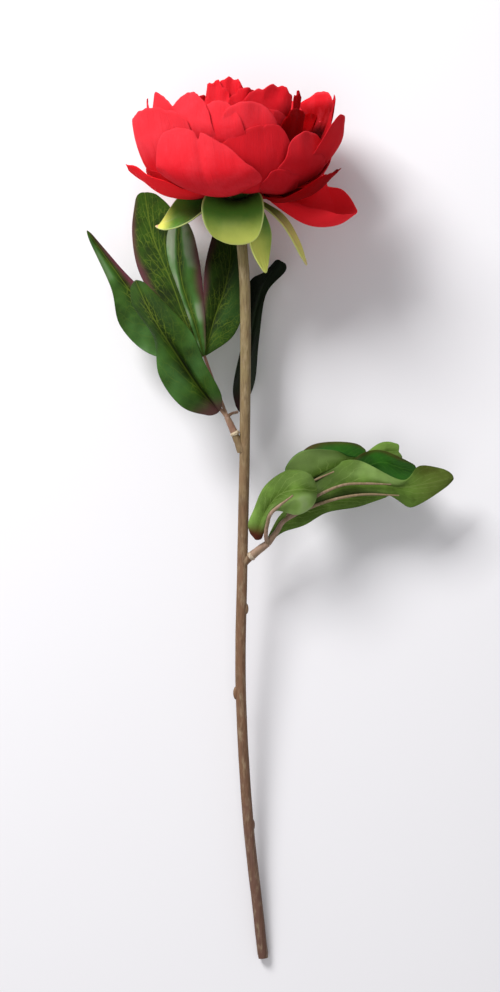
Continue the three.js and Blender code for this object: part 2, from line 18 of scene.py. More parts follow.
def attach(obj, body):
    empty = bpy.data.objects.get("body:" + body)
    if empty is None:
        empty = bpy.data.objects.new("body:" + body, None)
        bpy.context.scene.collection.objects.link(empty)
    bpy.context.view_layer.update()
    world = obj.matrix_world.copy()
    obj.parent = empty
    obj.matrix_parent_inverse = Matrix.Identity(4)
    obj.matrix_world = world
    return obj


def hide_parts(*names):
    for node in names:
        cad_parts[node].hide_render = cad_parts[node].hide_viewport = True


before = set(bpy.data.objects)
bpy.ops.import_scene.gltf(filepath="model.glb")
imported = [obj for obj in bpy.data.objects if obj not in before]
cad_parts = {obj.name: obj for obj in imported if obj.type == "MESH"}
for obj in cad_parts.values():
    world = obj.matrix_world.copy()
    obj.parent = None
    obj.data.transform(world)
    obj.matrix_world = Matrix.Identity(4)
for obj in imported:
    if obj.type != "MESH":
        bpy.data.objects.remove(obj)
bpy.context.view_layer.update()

log = logging.getLogger("peony")

Point = tuple[float, float, float]
Colour = tuple[float, float, float]
NumberAt = Callable[[float, float], float]
PlaceAt = Callable[[float, float], Vector]
Piece = bpy.types.Object
Material = bpy.types.Material
Group = bpy.types.NodeTree
MM = 0.001


# ---------- how the part lies


@dataclass(frozen=True)
class Lay:
    """How the stem's own plane lies over the surface."""

    tilt: float = math.radians(6.28)
    lift: float = 2.78
    middle: tuple[float, float] = (10.25, 237.5)

    def axes(self) -> Matrix:
        """The plane's three directions as the columns of a matrix."""
        return Matrix.Rotation(self.tilt, 3, "X")

    def place(self, point: Vector) -> Vector:
        """Turns a place in the plane's frame into the model's frame.

        Args:
            point: Place in millimetres.

        Returns:
            The same place in metres.
        """
        shift = Vector((-self.middle[0], -self.middle[1], self.lift))
        return (self.axes() @ point + shift) * MM


LAY = Lay()


def smoothstep(value: float, low: float, high: float) -> float:
    """A smooth rise from 0 at low to 1 at high."""
    share = min(1.0, max(0.0, (value - low) / (high - low)))
    return share * share * (3 - 2 * share)


def ripple_at(x: float, y: float, seed: float) -> float:
    """Soft, fixed noise between about -1 and 1."""
    return noise.noise(Vector((x, y, seed * 3.7 + 11.3)))


class Curve:
    """A smooth line through points, in any number of dimensions up to three."""

    def __init__(self, points: Sequence[Sequence[float]]) -> None:
        """Keeps the points.

        Args:
            points: Two or more places with two or three coordinates.
        """
        self.points = [Vector((*p, 0.0)[:3]) for p in points]

    def at(self, t: float) -> Vector:
        """The place at share t of the points.

        Args:
            t: How far along the line, 0 to 1.

        Returns:
            The place.
        """
        pts = self.points
        where = min(1.0, max(0.0, t)) * (len(pts) - 1)
        k = min(int(where), len(pts) - 2)
        w = where - k
        before = pts[k - 1] if k else 2 * pts[0] - pts[1]
        after = pts[k + 2] if k + 2 < len(pts) else 2 * pts[-1] - pts[-2]
        a, b = pts[k], pts[k + 1]
        m0, m1 = (b - before) * 0.5, (after - a) * 0.5
        c2 = -3 * a + 3 * b - 2 * m0 - m1
        c3 = 2 * a - 2 * b + m0 + m1
        return a + m0 * w + c2 * w**2 + c3 * w**3

    def along(self, t: float) -> Vector:
        """The direction of the line at share t."""
        step = 1e-4
        return (self.at(t + step) - self.at(t - step)).normalized()


# ---------- making meshes


def only(piece: Piece) -> None:
    """Leaves this object alone selected and active.

    Args:
        piece: The object.
    """
    bpy.ops.object.select_all(action="DESELECT")
    piece.select_set(True)
    bpy.context.view_layer.objects.active = piece


def added(name: str, add: Callable[..., set[str]], **settings: object) -> Piece:
    """Adds a primitive at the origin.

    Args:
        name: The new piece's name.
        add: The operator that adds it.
        settings: The operator's own settings.

    Returns:
        The new piece, selected and active.
    """
    bpy.ops.object.select_all(action="DESELECT")
    add(location=(0, 0, 0), **settings)
    piece = bpy.context.object
    piece.name = piece.data.name = name
    return piece


def turn_outwards(piece: Piece) -> None:
    """Turns every face of a closed mesh outwards.

    Args:
        piece: The closed mesh, left selected.
    """
    only(piece)
    bpy.ops.object.mode_set(mode="EDIT")
    bpy.ops.mesh.select_all(action="SELECT")
    bpy.ops.mesh.normals_make_consistent(inside=False)
    bpy.ops.object.mode_set(mode="OBJECT")


def apply(piece: Piece, kind: str, **settings: object) -> None:
    """Adds a modifier and applies it.

    Args:
        piece: The object it works on.
        kind: Blender's name of the modifier's type.
        settings: Values of the modifier's fields.
    """
    only(piece)
    modifier = piece.modifiers.new(kind.title(), kind)
    for key, value in settings.items():
        setattr(modifier, key, value)
    bpy.ops.object.modifier_apply(modifier=modifier.name)


def joined(name: str, parts: list[Piece]) -> Piece:
    """Joins finished meshes into one object.

    Args:
        name: The name of the result.
        parts: One or more mesh objects.

    Returns:
        The object that holds them all.
    """
    only(parts[0])
    for part in parts:
        part.select_set(True)
    if len(parts) > 1:
        bpy.ops.object.join()
    whole = bpy.context.view_layer.objects.active
    whole.name = whole.data.name = name
    return whole


def tag(piece: Piece, name: str, value_at: NumberAt) -> None:
    """Stores a number at each point of a grid, read by the materials.

    Args:
        piece: The piece, such as a grid whose points still lie between -1 and 1.
        name: The attribute's name.
        value_at: Gives the number from a point's x and y.
    """
    layer = piece.data.attributes.new(name, "FLOAT", "POINT")
    for k, vertex in enumerate(piece.data.vertices):
        layer.data[k].value = value_at(vertex.co.x, vertex.co.y)


@dataclass(frozen=True)
class Sheet:
    """A thin closed sheet, moulded from a grid."""

    cols: int
    rows: int
    thickness: float
    levels: int = 1

    def make(
        self, name: str, point_at: PlaceAt, tags: dict[str, NumberAt], finishes: Sequence[Material]
    ) -> Piece:
        """Adds a grid, moulds it, gives it its thickness and smooths it.

        Args:
            name: The piece's name.
            point_at: Gives a place in the stem's plane from x and y between -1 and 1.
            tags: Numbers to store at the points, by name.
            finishes: The material of the upper side, and of the lower side if it differs.

        Returns:
            The finished sheet, with its UV map from the grid.
        """
        piece = added(
            name, bpy.ops.mesh.primitive_grid_add, x_subdivisions=self.cols, y_subdivisions=self.rows,
            size=2,
        )
        for key, value_at in tags.items():
            tag(piece, key, value_at)
        above_floor = 0.55  # of the thickness, so the lower side stays over the surface
        floor = above_floor * self.thickness * MM
        for vertex in piece.data.vertices:
            place = LAY.place(point_at(vertex.co.x, vertex.co.y))
            place.z = max(place.z, floor)
            vertex.co = place
        for finish in finishes:
            piece.data.materials.append(finish)
        apply(
            piece, "SOLIDIFY", thickness=self.thickness * MM, offset=0, material_offset=len(finishes) - 1,
            material_offset_rim=0,
        )
        apply(piece, "SUBSURF", levels=self.levels, render_levels=self.levels)
        only(piece)
        bpy.ops.object.shade_smooth()
        return piece


@dataclass(frozen=True)
class Bar:
    """A round bar that follows a line, with its radius given along the way."""

    line: Sequence[Point]
    radii: Sequence[float]
    rings: int = 24
    sides: int = 16
    rough: float = 0.0
    seed: float = 0.0
    sharpest: float = math.radians(50)

    def radius_at(self, t: float) -> float:
        """The bar's radius somewhere along it.

        Args:
            t: How far along the bar, 0 to 1.

        Returns:
            The radius in millimetres.
        """
        where = t * (len(self.radii) - 1)
        k = min(int(where), len(self.radii) - 2)
        share = smoothstep(where - k, 0, 1)
        return self.radii[k] * (1 - share) + self.radii[k + 1] * share

    def make(self, name: str, finish: Material) -> Piece:
        """Extrudes a filled circle ring by ring along the line.

        Args:
            name: The piece's name.
            finish: Its material.

        Returns:
            The closed bar.
        """
        ripples_along, ripples_round = 30, 2
        line = Curve(self.line)
        piece = added(
            name, bpy.ops.mesh.primitive_circle_add, vertices=self.sides, radius=1, fill_type="NGON",
        )
        bpy.ops.object.mode_set(mode="EDIT")
        shape = bmesh.from_edit_mesh(piece.data)
        across = line.along(0).orthogonal().normalized()
        for ring in range(self.rings + 1):
            t = ring / self.rings
            if ring:
                bpy.ops.mesh.extrude_region_move(TRANSFORM_OT_translate={"value": (0, 0, 1)})
                shape = bmesh.from_edit_mesh(piece.data)
            onwards = line.along(t)
            across = (across - onwards * across.dot(onwards)).normalized()
            up = onwards.cross(across)
            points = [v for v in shape.verts if v.select]
            middle = line.at(t)
            if not ring:
                turns = [math.atan2(v.co.y, v.co.x) for v in points]
            for v, turn in zip(points, turns):
                bump = ripple_at(t * ripples_along + turn, math.cos(turn) * ripples_round, self.seed)
                r = self.radius_at(t) + self.rough * bump
                v.co = LAY.place(middle + across * (r * math.cos(turn)) + up * (r * math.sin(turn)))
            bmesh.update_edit_mesh(piece.data)
        bpy.ops.object.mode_set(mode="OBJECT")
        turn_outwards(piece)
        piece.data.materials.append(finish)
        bpy.ops.object.shade_smooth_by_angle(angle=self.sharpest)
        return piece


class Slot(Enum):
    """The record's material slots."""

    PETAL = "petal"
    CALYX = "calyx"
    STEM = "stem"
    STALK = "stalk"
    LEAF = "leaf"
    LEAF_BACK = "leaf_back"


def hand_over(piece: Piece, slot: Slot, *nodes: str) -> None:
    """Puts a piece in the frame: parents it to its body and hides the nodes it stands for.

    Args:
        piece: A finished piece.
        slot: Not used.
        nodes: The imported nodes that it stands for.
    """
    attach(piece, "root")
    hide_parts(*nodes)
    log.info("%s: %d faces, for %s", piece.name, len(piece.data.polygons), ", ".join(nodes))


# ---------- materials


def srgb(red: int, green: int, blue: int) -> Colour:
    """A screen colour from 0 to 255 as a linear one, by the sRGB curve."""
    shares = (red / 255, green / 255, blue / 255)
    return tuple(c / 12.92 if c <= 0.04045 else ((c + 0.055) / 1.055) ** 2.4 for c in shares)


Source = bpy.types.NodeSocket | float | Sequence[float]


class Tree:
    """A node tree with short ways to add nodes."""

    MIX_INPUTS = (0, 6, 7)  # the Mix node's share and its two colours
    MIX_OUTPUT = 2  # its mixed colour

    def __init__(self, tree: Group) -> None:
        """Keeps the tree."""
        self.tree = tree

    def give(self, socket: bpy.types.NodeSocket, source: Source) -> None:
        """Links a socket, or sets its value.

        Args:
            socket: The input.
            source: An output to link, a number or a colour.
        """
        if isinstance(source, bpy.types.NodeSocket):
            self.tree.links.new(source, socket)
        elif isinstance(source, (int, float)):
            socket.default_value = source
        else:
            values = tuple(source)
            room = len(socket.default_value)
            socket.default_value = values + (1.0,) * (room - len(values))

    def add(self, kind: str, inputs: dict[str | int, Source], **settings: object) -> bpy.types.Node:
        """Adds a node.

        Args:
            kind: The node's type without its prefix.
            inputs: What its sockets get, by name or number.
            settings: Values of the node's own fields.

        Returns:
            The node.
        """
        node = self.tree.nodes.new("ShaderNode" + kind)
        for key, value in settings.items():
            setattr(node, key, value)
        for key, source in inputs.items():
            self.give(node.inputs[key], source)
        return node

    def math(self, operation: str, a: Source, b: Source = 0.0, clamp: bool = False) -> Source:
        """One step of arithmetic on two values."""
        node = self.add("Math", {0: a, 1: b}, operation=operation, use_clamp=clamp)
        return node.outputs[0]

    def times(self, a: Source, b: Source) -> Source:
        """The product of two values."""
        return self.math("MULTIPLY", a, b)

    def plus(self, a: Source, b: Source) -> Source:
        """The sum of two values."""
        return self.math("ADD", a, b)

    def minus(self, a: Source, b: Source) -> Source:
        """The first value less the second."""
        return self.math("SUBTRACT", a, b)

    def ramp(self, value: Source, low: float, high: float, start: float = 0.0, end: float = 1.0) -> Source:
        """A smooth change from start to end while the value goes from low to high."""
        inputs = {0: value, 1: low, 2: high, 3: start, 4: end}
        return self.add("MapRange", inputs, interpolation_type="SMOOTHSTEP").outputs[0]

    def mix(self, share: Source, a: Source, b: Source) -> Source:
        """A mix of two colours."""
        inputs = dict(zip(self.MIX_INPUTS, (share, a, b)))
        return self.add("Mix", inputs, data_type="RGBA").outputs[self.MIX_OUTPUT]

    def noise(self, place: Source, scale: float, detail: float = 3.0, rough: float = 0.5) -> Source:
        """Plain noise between 0 and 1."""
        inputs = {"Vector": place, "Scale": scale, "Detail": detail, "Roughness": rough}
        return self.add("TexNoise", inputs).outputs[0]

    def stretched(self, place: Source, scale: Sequence[float]) -> Source:
        """A place with each of its directions scaled."""
        return self.add("Mapping", {"Vector": place, "Scale": scale}).outputs[0]

    def object_place(self) -> Source:
        """The place on the object, in metres."""
        return self.add("TexCoord", {}).outputs["Object"]

    def uv(self) -> Source:
        """The place on the piece's own UV map."""
        return self.add("UVMap", {}, uv_map="UVMap").outputs[0]

    def attribute(self, name: str) -> Source:
        """A number stored at the points."""
        return self.add("Attribute", {}, attribute_name=name).outputs["Fac"]


class GroupBuilder(Tree):
    """A shader node group with named inputs and outputs."""

    def __init__(self, name: str, inputs: dict[str, float | None], outputs: Sequence[str]) -> None:
        """Makes the group and its sockets.

        Args:
            name: The group's name.
            inputs: Each input with its usual value, or None for a place.
            outputs: The names of its values.
        """
        super().__init__(bpy.data.node_groups.new(name, "ShaderNodeTree"))
        for label, usual in inputs.items():
            kind = "NodeSocketVector" if usual is None else "NodeSocketFloat"
            socket = self.tree.interface.new_socket(label, in_out="INPUT", socket_type=kind)
            if usual is not None:
                socket.default_value = usual
        for label in outputs:
            self.tree.interface.new_socket(label, in_out="OUTPUT", socket_type="NodeSocketFloat")
        self.start = self.tree.nodes.new("NodeGroupInput")
        self.end = self.tree.nodes.new("NodeGroupOutput")

    def taken(self, label: str) -> Source:
        """One of the group's inputs."""
        return self.start.outputs[label]

    def put(self, label: str, source: Source) -> None:
        """Feeds one of the group's outputs."""
        self.give(self.end.inputs[label], source)


class Effects:
    """The node groups that several finishes share."""

    def __init__(self) -> None:
        """Builds each group once."""
        self.weave = self._weave()
        self.border = self._border()
        self.veins = self._veins()
        self.grain = self._grain()

    @staticmethod
    def _weave() -> Group:
        """Crossing threads on a UV map, as a height.

        Returns:
            The group.
        """
        group = GroupBuilder("Woven threads", {"Place": None, "Threads": 110.0}, ["Height"])
        parts = group.add("SeparateXYZ", {0: group.taken("Place")})
        waves = []
        for axis in ("X", "Y"):
            turns = group.times(parts.outputs[axis], group.taken("Threads"))
            waves.append(group.math("SINE", group.times(turns, math.tau)))
        cloth = group.times(waves[0], waves[1])
        slub = group.noise(group.taken("Place"), scale=60.0, detail=4.0, rough=0.7)
        height = group.plus(group.times(cloth, 0.25), slub)
        group.put("Height", height)
        return group.tree

    @staticmethod
    def _border() -> Group:
        """How near a point of a UV map is to the map's border.

        Returns:
            The group.
        """
        group = GroupBuilder("Near the edge", {"Place": None, "Width": 0.06}, ["Mask"])
        parts = group.add("SeparateXYZ", {0: group.taken("Place")})
        gaps = []
        for axis in ("X", "Y"):
            centred = group.minus(parts.outputs[axis], 0.5)
            gaps.append(group.minus(0.5, group.math("ABSOLUTE", centred)))
        nearest = group.math("MINIMUM", gaps[0], gaps[1])
        share = group.math("DIVIDE", nearest, group.taken("Width"), clamp=True)
        group.put("Mask", group.math("SUBTRACT", 1.0, share, clamp=True))
        return group.tree

    @staticmethod
    def _veins() -> Group:
        """A leaf's rib, its side veins and the net between them, on a UV map.

        Returns:
            The group.
        """
        sockets = {"Place": None, "Count": 9.0, "Slope": 3.4, "Width": 0.1}
        group = GroupBuilder("Leaf veins", sockets, ["Rib", "Side veins", "Net"])
        place = group.taken("Place")
        parts = group.add("SeparateXYZ", {0: place})
        centred = group.minus(parts.outputs["X"], 0.5)
        out = group.times(group.math("ABSOLUTE", centred), 2.0)
        wobble = group.minus(group.noise(place, scale=7.0, detail=2.0), 0.5)
        rib = group.plus(out, group.times(wobble, 0.03))
        group.put("Rib", group.ramp(rib, 0.008, 0.045, 1.0, 0.0))
        side = group.math("GREATER_THAN", centred, 0.0)
        rise = group.times(parts.outputs["Y"], group.taken("Count"))
        lean = group.times(group.math("POWER", out, 0.8), group.taken("Slope"))
        turns = group.minus(rise, lean)
        turns = group.plus(turns, group.times(side, 0.43))
        turns = group.plus(turns, group.times(wobble, 1.1))
        gap = group.math("PINGPONG", turns, 0.5)
        width = group.times(group.taken("Width"), group.ramp(out, 0.0, 1.0, 1.0, 0.45))
        thin = group.math("DIVIDE", gap, width, clamp=True)
        vein = group.math("SUBTRACT", 1.0, thin, clamp=True)
        fade = group.ramp(out, 0.75, 0.98, 1.0, 0.15)
        group.put("Side veins", group.times(vein, fade))
        cells = group.add(
            "TexVoronoi", {"Vector": group.stretched(place, (12, 28, 1)), "Scale": 1.0, "Randomness": 0.9},
            feature="DISTANCE_TO_EDGE",
        )
        group.put("Net", group.ramp(cells.outputs["Distance"], 0.0, 0.07, 1.0, 0.0))
        return group.tree

    @staticmethod
    def _grain() -> Group:
        """Mottling and streaks of moulded plastic, along the stem.

        Returns:
            The group.
        """
        sockets = {"Place": None, "Fine": 900.0, "Coarse": 60.0}
        group = GroupBuilder("Moulded grain", sockets, ["Streaks", "Mottle"])
        place = group.taken("Place")
        long = group.stretched(place, (1, 0.06, 1))
        streaks = group.add("TexNoise", {"Vector": long, "Scale": group.taken("Fine"), "Detail": 3.0})
        mottle = group.add("TexNoise", {"Vector": place, "Scale": group.taken("Coarse"), "Detail": 4.0})
        group.put("Streaks", streaks.outputs[0])
        group.put("Mottle", mottle.outputs[0])
        return group.tree


class Finish:
    """A material being built: its tree and its shader."""

    def __init__(self, name: str, **constants: object) -> None:
        """Starts a material with a Principled shader.

        Args:
            name: The material's name.
            constants: Values of the shader's own sockets, with _ for a space.
        """
        self.material = bpy.data.materials.new(name)
        self.material.use_nodes = True
        self.tree = Tree(self.material.node_tree)
        self.shader = self.material.node_tree.nodes["Principled BSDF"]
        for key, value in constants.items():
            self.tree.give(self.shader.inputs[key.replace("_", " ")], value)

    def use(self, group: Group, **inputs: Source) -> bpy.types.Node:
        """Places a shared group in the material.

        Args:
            group: The shared group.
            inputs: What its inputs get, by name.

        Returns:
            Its node.
        """
        node = self.tree.tree.nodes.new("ShaderNodeGroup")
        node.node_tree = group
        for key, source in inputs.items():
            self.tree.give(node.inputs[key], source)
        return node

    def feed(self, socket: str, source: Source) -> None:
        """Feeds one of the shader's sockets."""
        self.tree.give(self.shader.inputs[socket], source)

    def relief(self, height: Source, strength: float, depth: float) -> None:
        """Feeds the normal with a bump.

        Args:
            height: The relief between 0 and 1.
            strength: How much of it shows.
            depth: Its depth in metres.
        """
        bump = self.tree.add("Bump", {"Height": height, "Strength": strength, "Distance": depth})
        self.tree.give(self.shader.inputs["Normal"], bump.outputs[0])


@dataclass(frozen=True)
class PetalSilk:
    """Matte red cloth, deeper towards the petal's root, partly as painted shade; shaded petals are painted
    deeper and lit tips pinker as a painted highlight.
    """

    lit: Colour = srgb(215, 30, 41)
    # the root's red, also the painted shade
    deep: Colour = srgb(136, 0, 3)
    # painted light, for the spread guard petals
    bright: Colour = srgb(252, 34, 44)
    # the paler edge and pink patches, and the painted highlight on lit tips
    edge: Colour = srgb(238, 74, 86)
    threads: float = 120.0
    border: float = 0.035  # width of the paler edge, as a share of the petal
    mottling: float = 90.0  # scale of its uneven colour
    fibres: Point = (70, 5, 1)  # scale of the streaks, across and along
    depth: float = 0.0003  # of its relief, in metres

    def make(self, effects: Effects) -> Material:
        """Builds the material.

        Args:
            effects: The shared node groups.

        Returns:
            The material.
        """
        finish = Finish(
            "Petal silk", Specular_IOR_Level=0.02, Sheen_Weight=0.02, Sheen_Roughness=0.4,
            Sheen_Tint=(1.0, 0.35, 0.38), Subsurface_Weight=0.12, Subsurface_Radius=(1.0, 0.12, 0.1),
            Subsurface_Scale=0.004,
        )
        tree = finish.tree
        uv = tree.uv()
        along = tree.attribute("along")
        painted_shade_and_ripeness = tree.attribute("painted_shade_and_ripeness")
        # Deeper red towards the root: partly the cloth's own colour, partly painted shade deep in the
        # bloom.
        body = tree.mix(tree.ramp(along, 0.15, 0.9), self.deep, self.lit)
        # Painted highlight: lit petals turn pinker towards their tips, less on petals painted deeper.
        pink = tree.ramp(painted_shade_and_ripeness, 0.05, 0.3, 1.0, 0.25)
        upper = tree.ramp(along, 1.3, 1.8, 0.0, 0.3)
        body = tree.mix(tree.times(upper, pink), body, self.edge)
        mottle = tree.noise(tree.object_place(), scale=self.mottling, detail=5.0, rough=0.6)
        patches = tree.ramp(mottle, 0.35, 0.75, 0.0, 0.25)
        body = tree.mix(tree.times(patches, pink), body, self.edge)
        fibres = tree.noise(tree.stretched(uv, self.fibres), scale=1.0, detail=3.0, rough=0.6)
        body = tree.mix(tree.ramp(fibres, 0.5, 0.75, 0.0, 0.16), body, self.deep)
        border = finish.use(effects.border, Place=uv, Width=self.border)
        body = tree.mix(tree.times(border.outputs["Mask"], 0.1), body, self.edge)
        # Painted shade on petals that lie in shade, and painted light on the guard petals set below 0.
        body = tree.mix(painted_shade_and_ripeness, body, self.deep)
        body = tree.mix(tree.ramp(painted_shade_and_ripeness, -1.0, 0.0, 1.0, 0.0), body, self.bright)
        finish.feed("Base Color", body)
        weave = finish.use(effects.weave, Place=uv, Threads=self.threads)
        finish.feed("Roughness", tree.ramp(mottle, 0.2, 0.8, 0.7, 0.85))
        raised = tree.plus(weave.outputs["Height"], tree.times(fibres, 1.5))
        finish.relief(raised, strength=0.4, depth=self.depth)
        return finish.material


@dataclass(frozen=True)
class SepalPlastic:
    """Soft plastic that goes from dark green at the root, partly painted shade of the bloom, to
    yellow-green at the tip, with a painted highlight along its rim.
    """

    # root: partly painted shade, where the bloom shades it
    root: Colour = srgb(48, 72, 24)
    body: Colour = srgb(78, 128, 42)
    tip: Colour = srgb(206, 216, 102)
    # rim: painted highlight along the edge
    rim: Colour = srgb(216, 226, 148)
    blush: Colour = srgb(196, 150, 128)
    border: float = 0.035  # width of the painted highlight on the rim, as a share of the sepal
    clouds: tuple[float, float] = (90.0, 0.14)  # scale and size of the uneven colour
    grain: tuple[float, float] = (700.0, 260.0)  # scale of the streaks and of the mottling
    depth: float = 0.0003  # of its relief, in metres

    def make(self, effects: Effects) -> Material:
        """Builds the material.

        Args:
            effects: The shared node groups.

        Returns:
            The material.
        """
        finish = Finish(
            "Sepal plastic", Specular_IOR_Level=0.25, Subsurface_Weight=0.1,
            Subsurface_Radius=(0.5, 0.8, 0.2), Subsurface_Scale=0.003,
        )
        tree = finish.tree
        place = tree.object_place()
        scale, size = self.clouds
        cloud = tree.times(tree.noise(place, scale=scale, detail=4.0, rough=0.6), size)
        ripe = tree.plus(tree.attribute("ripe"), tree.minus(cloud, size / 2))
        # Dark green at the root, partly painted shade of the bloom, to yellow-green and pale at the tip;
        # painted side light is in the ripeness too.
        body = tree.mix(tree.ramp(ripe, 0.25, 0.6), self.root, self.body)
        body = tree.mix(tree.ramp(ripe, 0.58, 0.95), body, self.tip)
        body = tree.mix(tree.ramp(ripe, 1.06, 1.16), body, self.blush)
        # Painted highlight along the rim.
        border = finish.use(effects.border, Place=tree.uv(), Width=self.border)
        body = tree.mix(tree.times(border.outputs["Mask"], 0.6), body, self.rim)
        finish.feed("Base Color", body)
        grain = finish.use(effects.grain, Place=place, Fine=self.grain[0], Coarse=self.grain[1])
        finish.feed("Roughness", tree.ramp(grain.outputs["Mottle"], 0.3, 0.7, 0.42, 0.6))
        finish.relief(grain.outputs["Streaks"], strength=0.25, depth=self.depth)
        return finish.material


@dataclass(frozen=True)
class StemPlastic:
    """Moulded plastic, brown at the cut end and olive under the bloom, with fine streaks."""

    name: str
    foot: Colour
    middle: Colour
    top: Colour
    shade: Colour
    pale: Colour
    low: float  # where along the part its colours start, in metres
    high: float  # where they end
    grain: tuple[float, float] = (1100.0, 130.0)  # scale of the streaks and of the mottling
    worn: float = 420.0  # scale of the worn, pale places
    depth: float = 0.0005  # of its relief, in metres

    def make(self, effects: Effects) -> Material:
        """Builds the material.

        Args:
            effects: The shared node groups.

        Returns:
            The material.
        """
        finish = Finish(self.name, Specular_IOR_Level=0.2)
        tree = finish.tree
        place = tree.object_place()
        parts = tree.add("SeparateXYZ", {0: place})
        grain = finish.use(effects.grain, Place=place, Fine=self.grain[0], Coarse=self.grain[1])
        drift = tree.times(tree.minus(grain.outputs["Mottle"], 0.5), 0.12)
        up = tree.plus(parts.outputs["Y"], drift)
        span = self.high - self.low
        body = tree.mix(tree.ramp(up, self.low, self.low + 0.4 * span), self.foot, self.middle)
        body = tree.mix(tree.ramp(up, self.low + 0.45 * span, self.high), body, self.top)
        dark = tree.ramp(grain.outputs["Streaks"], 0.45, 0.72, 0.0, 0.55)
        body = tree.mix(dark, body, self.shade)
        worn = tree.noise(tree.stretched(place, (1, 0.3, 1)), scale=self.worn, detail=4.0, rough=0.65)
        body = tree.mix(tree.ramp(worn, 0.46, 0.74, 0.0, 0.45), body, self.pale)
        finish.feed("Base Color", body)
        finish.feed("Roughness", tree.ramp(grain.outputs["Mottle"], 0.3, 0.7, 0.45, 0.65))
        finish.relief(grain.outputs["Streaks"], strength=0.6, depth=self.depth)
        return finish.material


@dataclass(frozen=True)
class LeafCloth:
    """Printed cloth of a leaf: veins, a blushed margin, patches of painted sheen that a glossy coat also
    shines on, and painted shade.
    """

    name: str
    dark: Colour
    light: Colour
    vein: Colour
    blush: Colour
    # the colour of the painted sheen
    painted_sheen: Colour
    frost: Colour = srgb(134, 140, 122)  # painted highlight, where the sheen catches the light most
    veins: float = 0.8  # how clear the rib and the side veins are
    net: float = 0.45  # how clear the net between them is
    gloss: float = 0.08
    coat: float = 0.12  # how much its patches of painted sheen also shine with a glossy coat
    roughness: tuple[float, float] = (0.4, 0.58)
    clouds: float = 55.0  # scale of its uneven green
    worn: float = 75.0  # scale of the places where the print is faint
    patches: float = 32.0  # scale of the patches of painted sheen
    threads: float = 70.0
    depth: float = 0.0004  # of its relief, in metres

    def make(self, effects: Effects) -> Material:
        """Builds the material.

        Args:
            effects: The shared node groups.

        Returns:
            The material.
        """
        finish = Finish(self.name, Specular_IOR_Level=self.gloss, Coat_Roughness=0.4)
        tree = finish.tree
        place = tree.object_place()
        uv = tree.uv()
        cloud = tree.noise(place, scale=self.clouds, detail=4.0, rough=0.55)
        body = tree.mix(tree.ramp(cloud, 0.35, 0.68), self.dark, self.light)
        printed = finish.use(effects.veins, Place=uv)
        worn = tree.ramp(tree.noise(place, scale=self.worn, detail=2.0), 0.35, 0.6)
        net = tree.times(printed.outputs["Net"], tree.times(worn, self.net))
        side = tree.times(printed.outputs["Side veins"], self.veins)
        lines = tree.math("MAXIMUM", net, tree.times(side, tree.plus(worn, 0.35)))
        rib = tree.times(printed.outputs["Rib"], self.veins)
        lines = tree.math("MAXIMUM", lines, rib, clamp=True)
        lines = tree.times(lines, tree.ramp(tree.attribute("painted_sheen"), 0.2, 0.85, 1.0, 0.2))
        # Painted sheen: paler patches, frosted where strongest; the same mask gives a glossy coat.
        patches = tree.ramp(tree.noise(place, scale=self.patches, detail=3.0), 0.34, 0.6, 0.15, 1.0)
        painted_sheen = tree.times(tree.attribute("painted_sheen"), patches)
        body = tree.mix(painted_sheen, body, self.painted_sheen)
        body = tree.mix(tree.ramp(painted_sheen, 0.5, 1.3, 0.0, 0.75), body, self.frost)
        body = tree.mix(lines, body, self.vein)
        body = tree.mix(tree.attribute("blush"), body, self.blush)
        # Painted shade: darker at the base, on the upper part and in the crease of some lobes.
        body = tree.mix(tree.attribute("painted_shade"), body, tree.mix(0.8, body, (0.0, 0.0, 0.0)))
        finish.feed("Base Color", body)
        finish.feed("Coat Weight", tree.times(painted_sheen, self.coat))
        finish.feed("Roughness", tree.ramp(cloud, 0.3, 0.7, *self.roughness))
        weave = finish.use(effects.weave, Place=uv, Threads=self.threads)
        raised = tree.plus(tree.times(lines, 1.4), weave.outputs["Height"])
        finish.relief(raised, strength=0.4, depth=self.depth)
        return finish.material


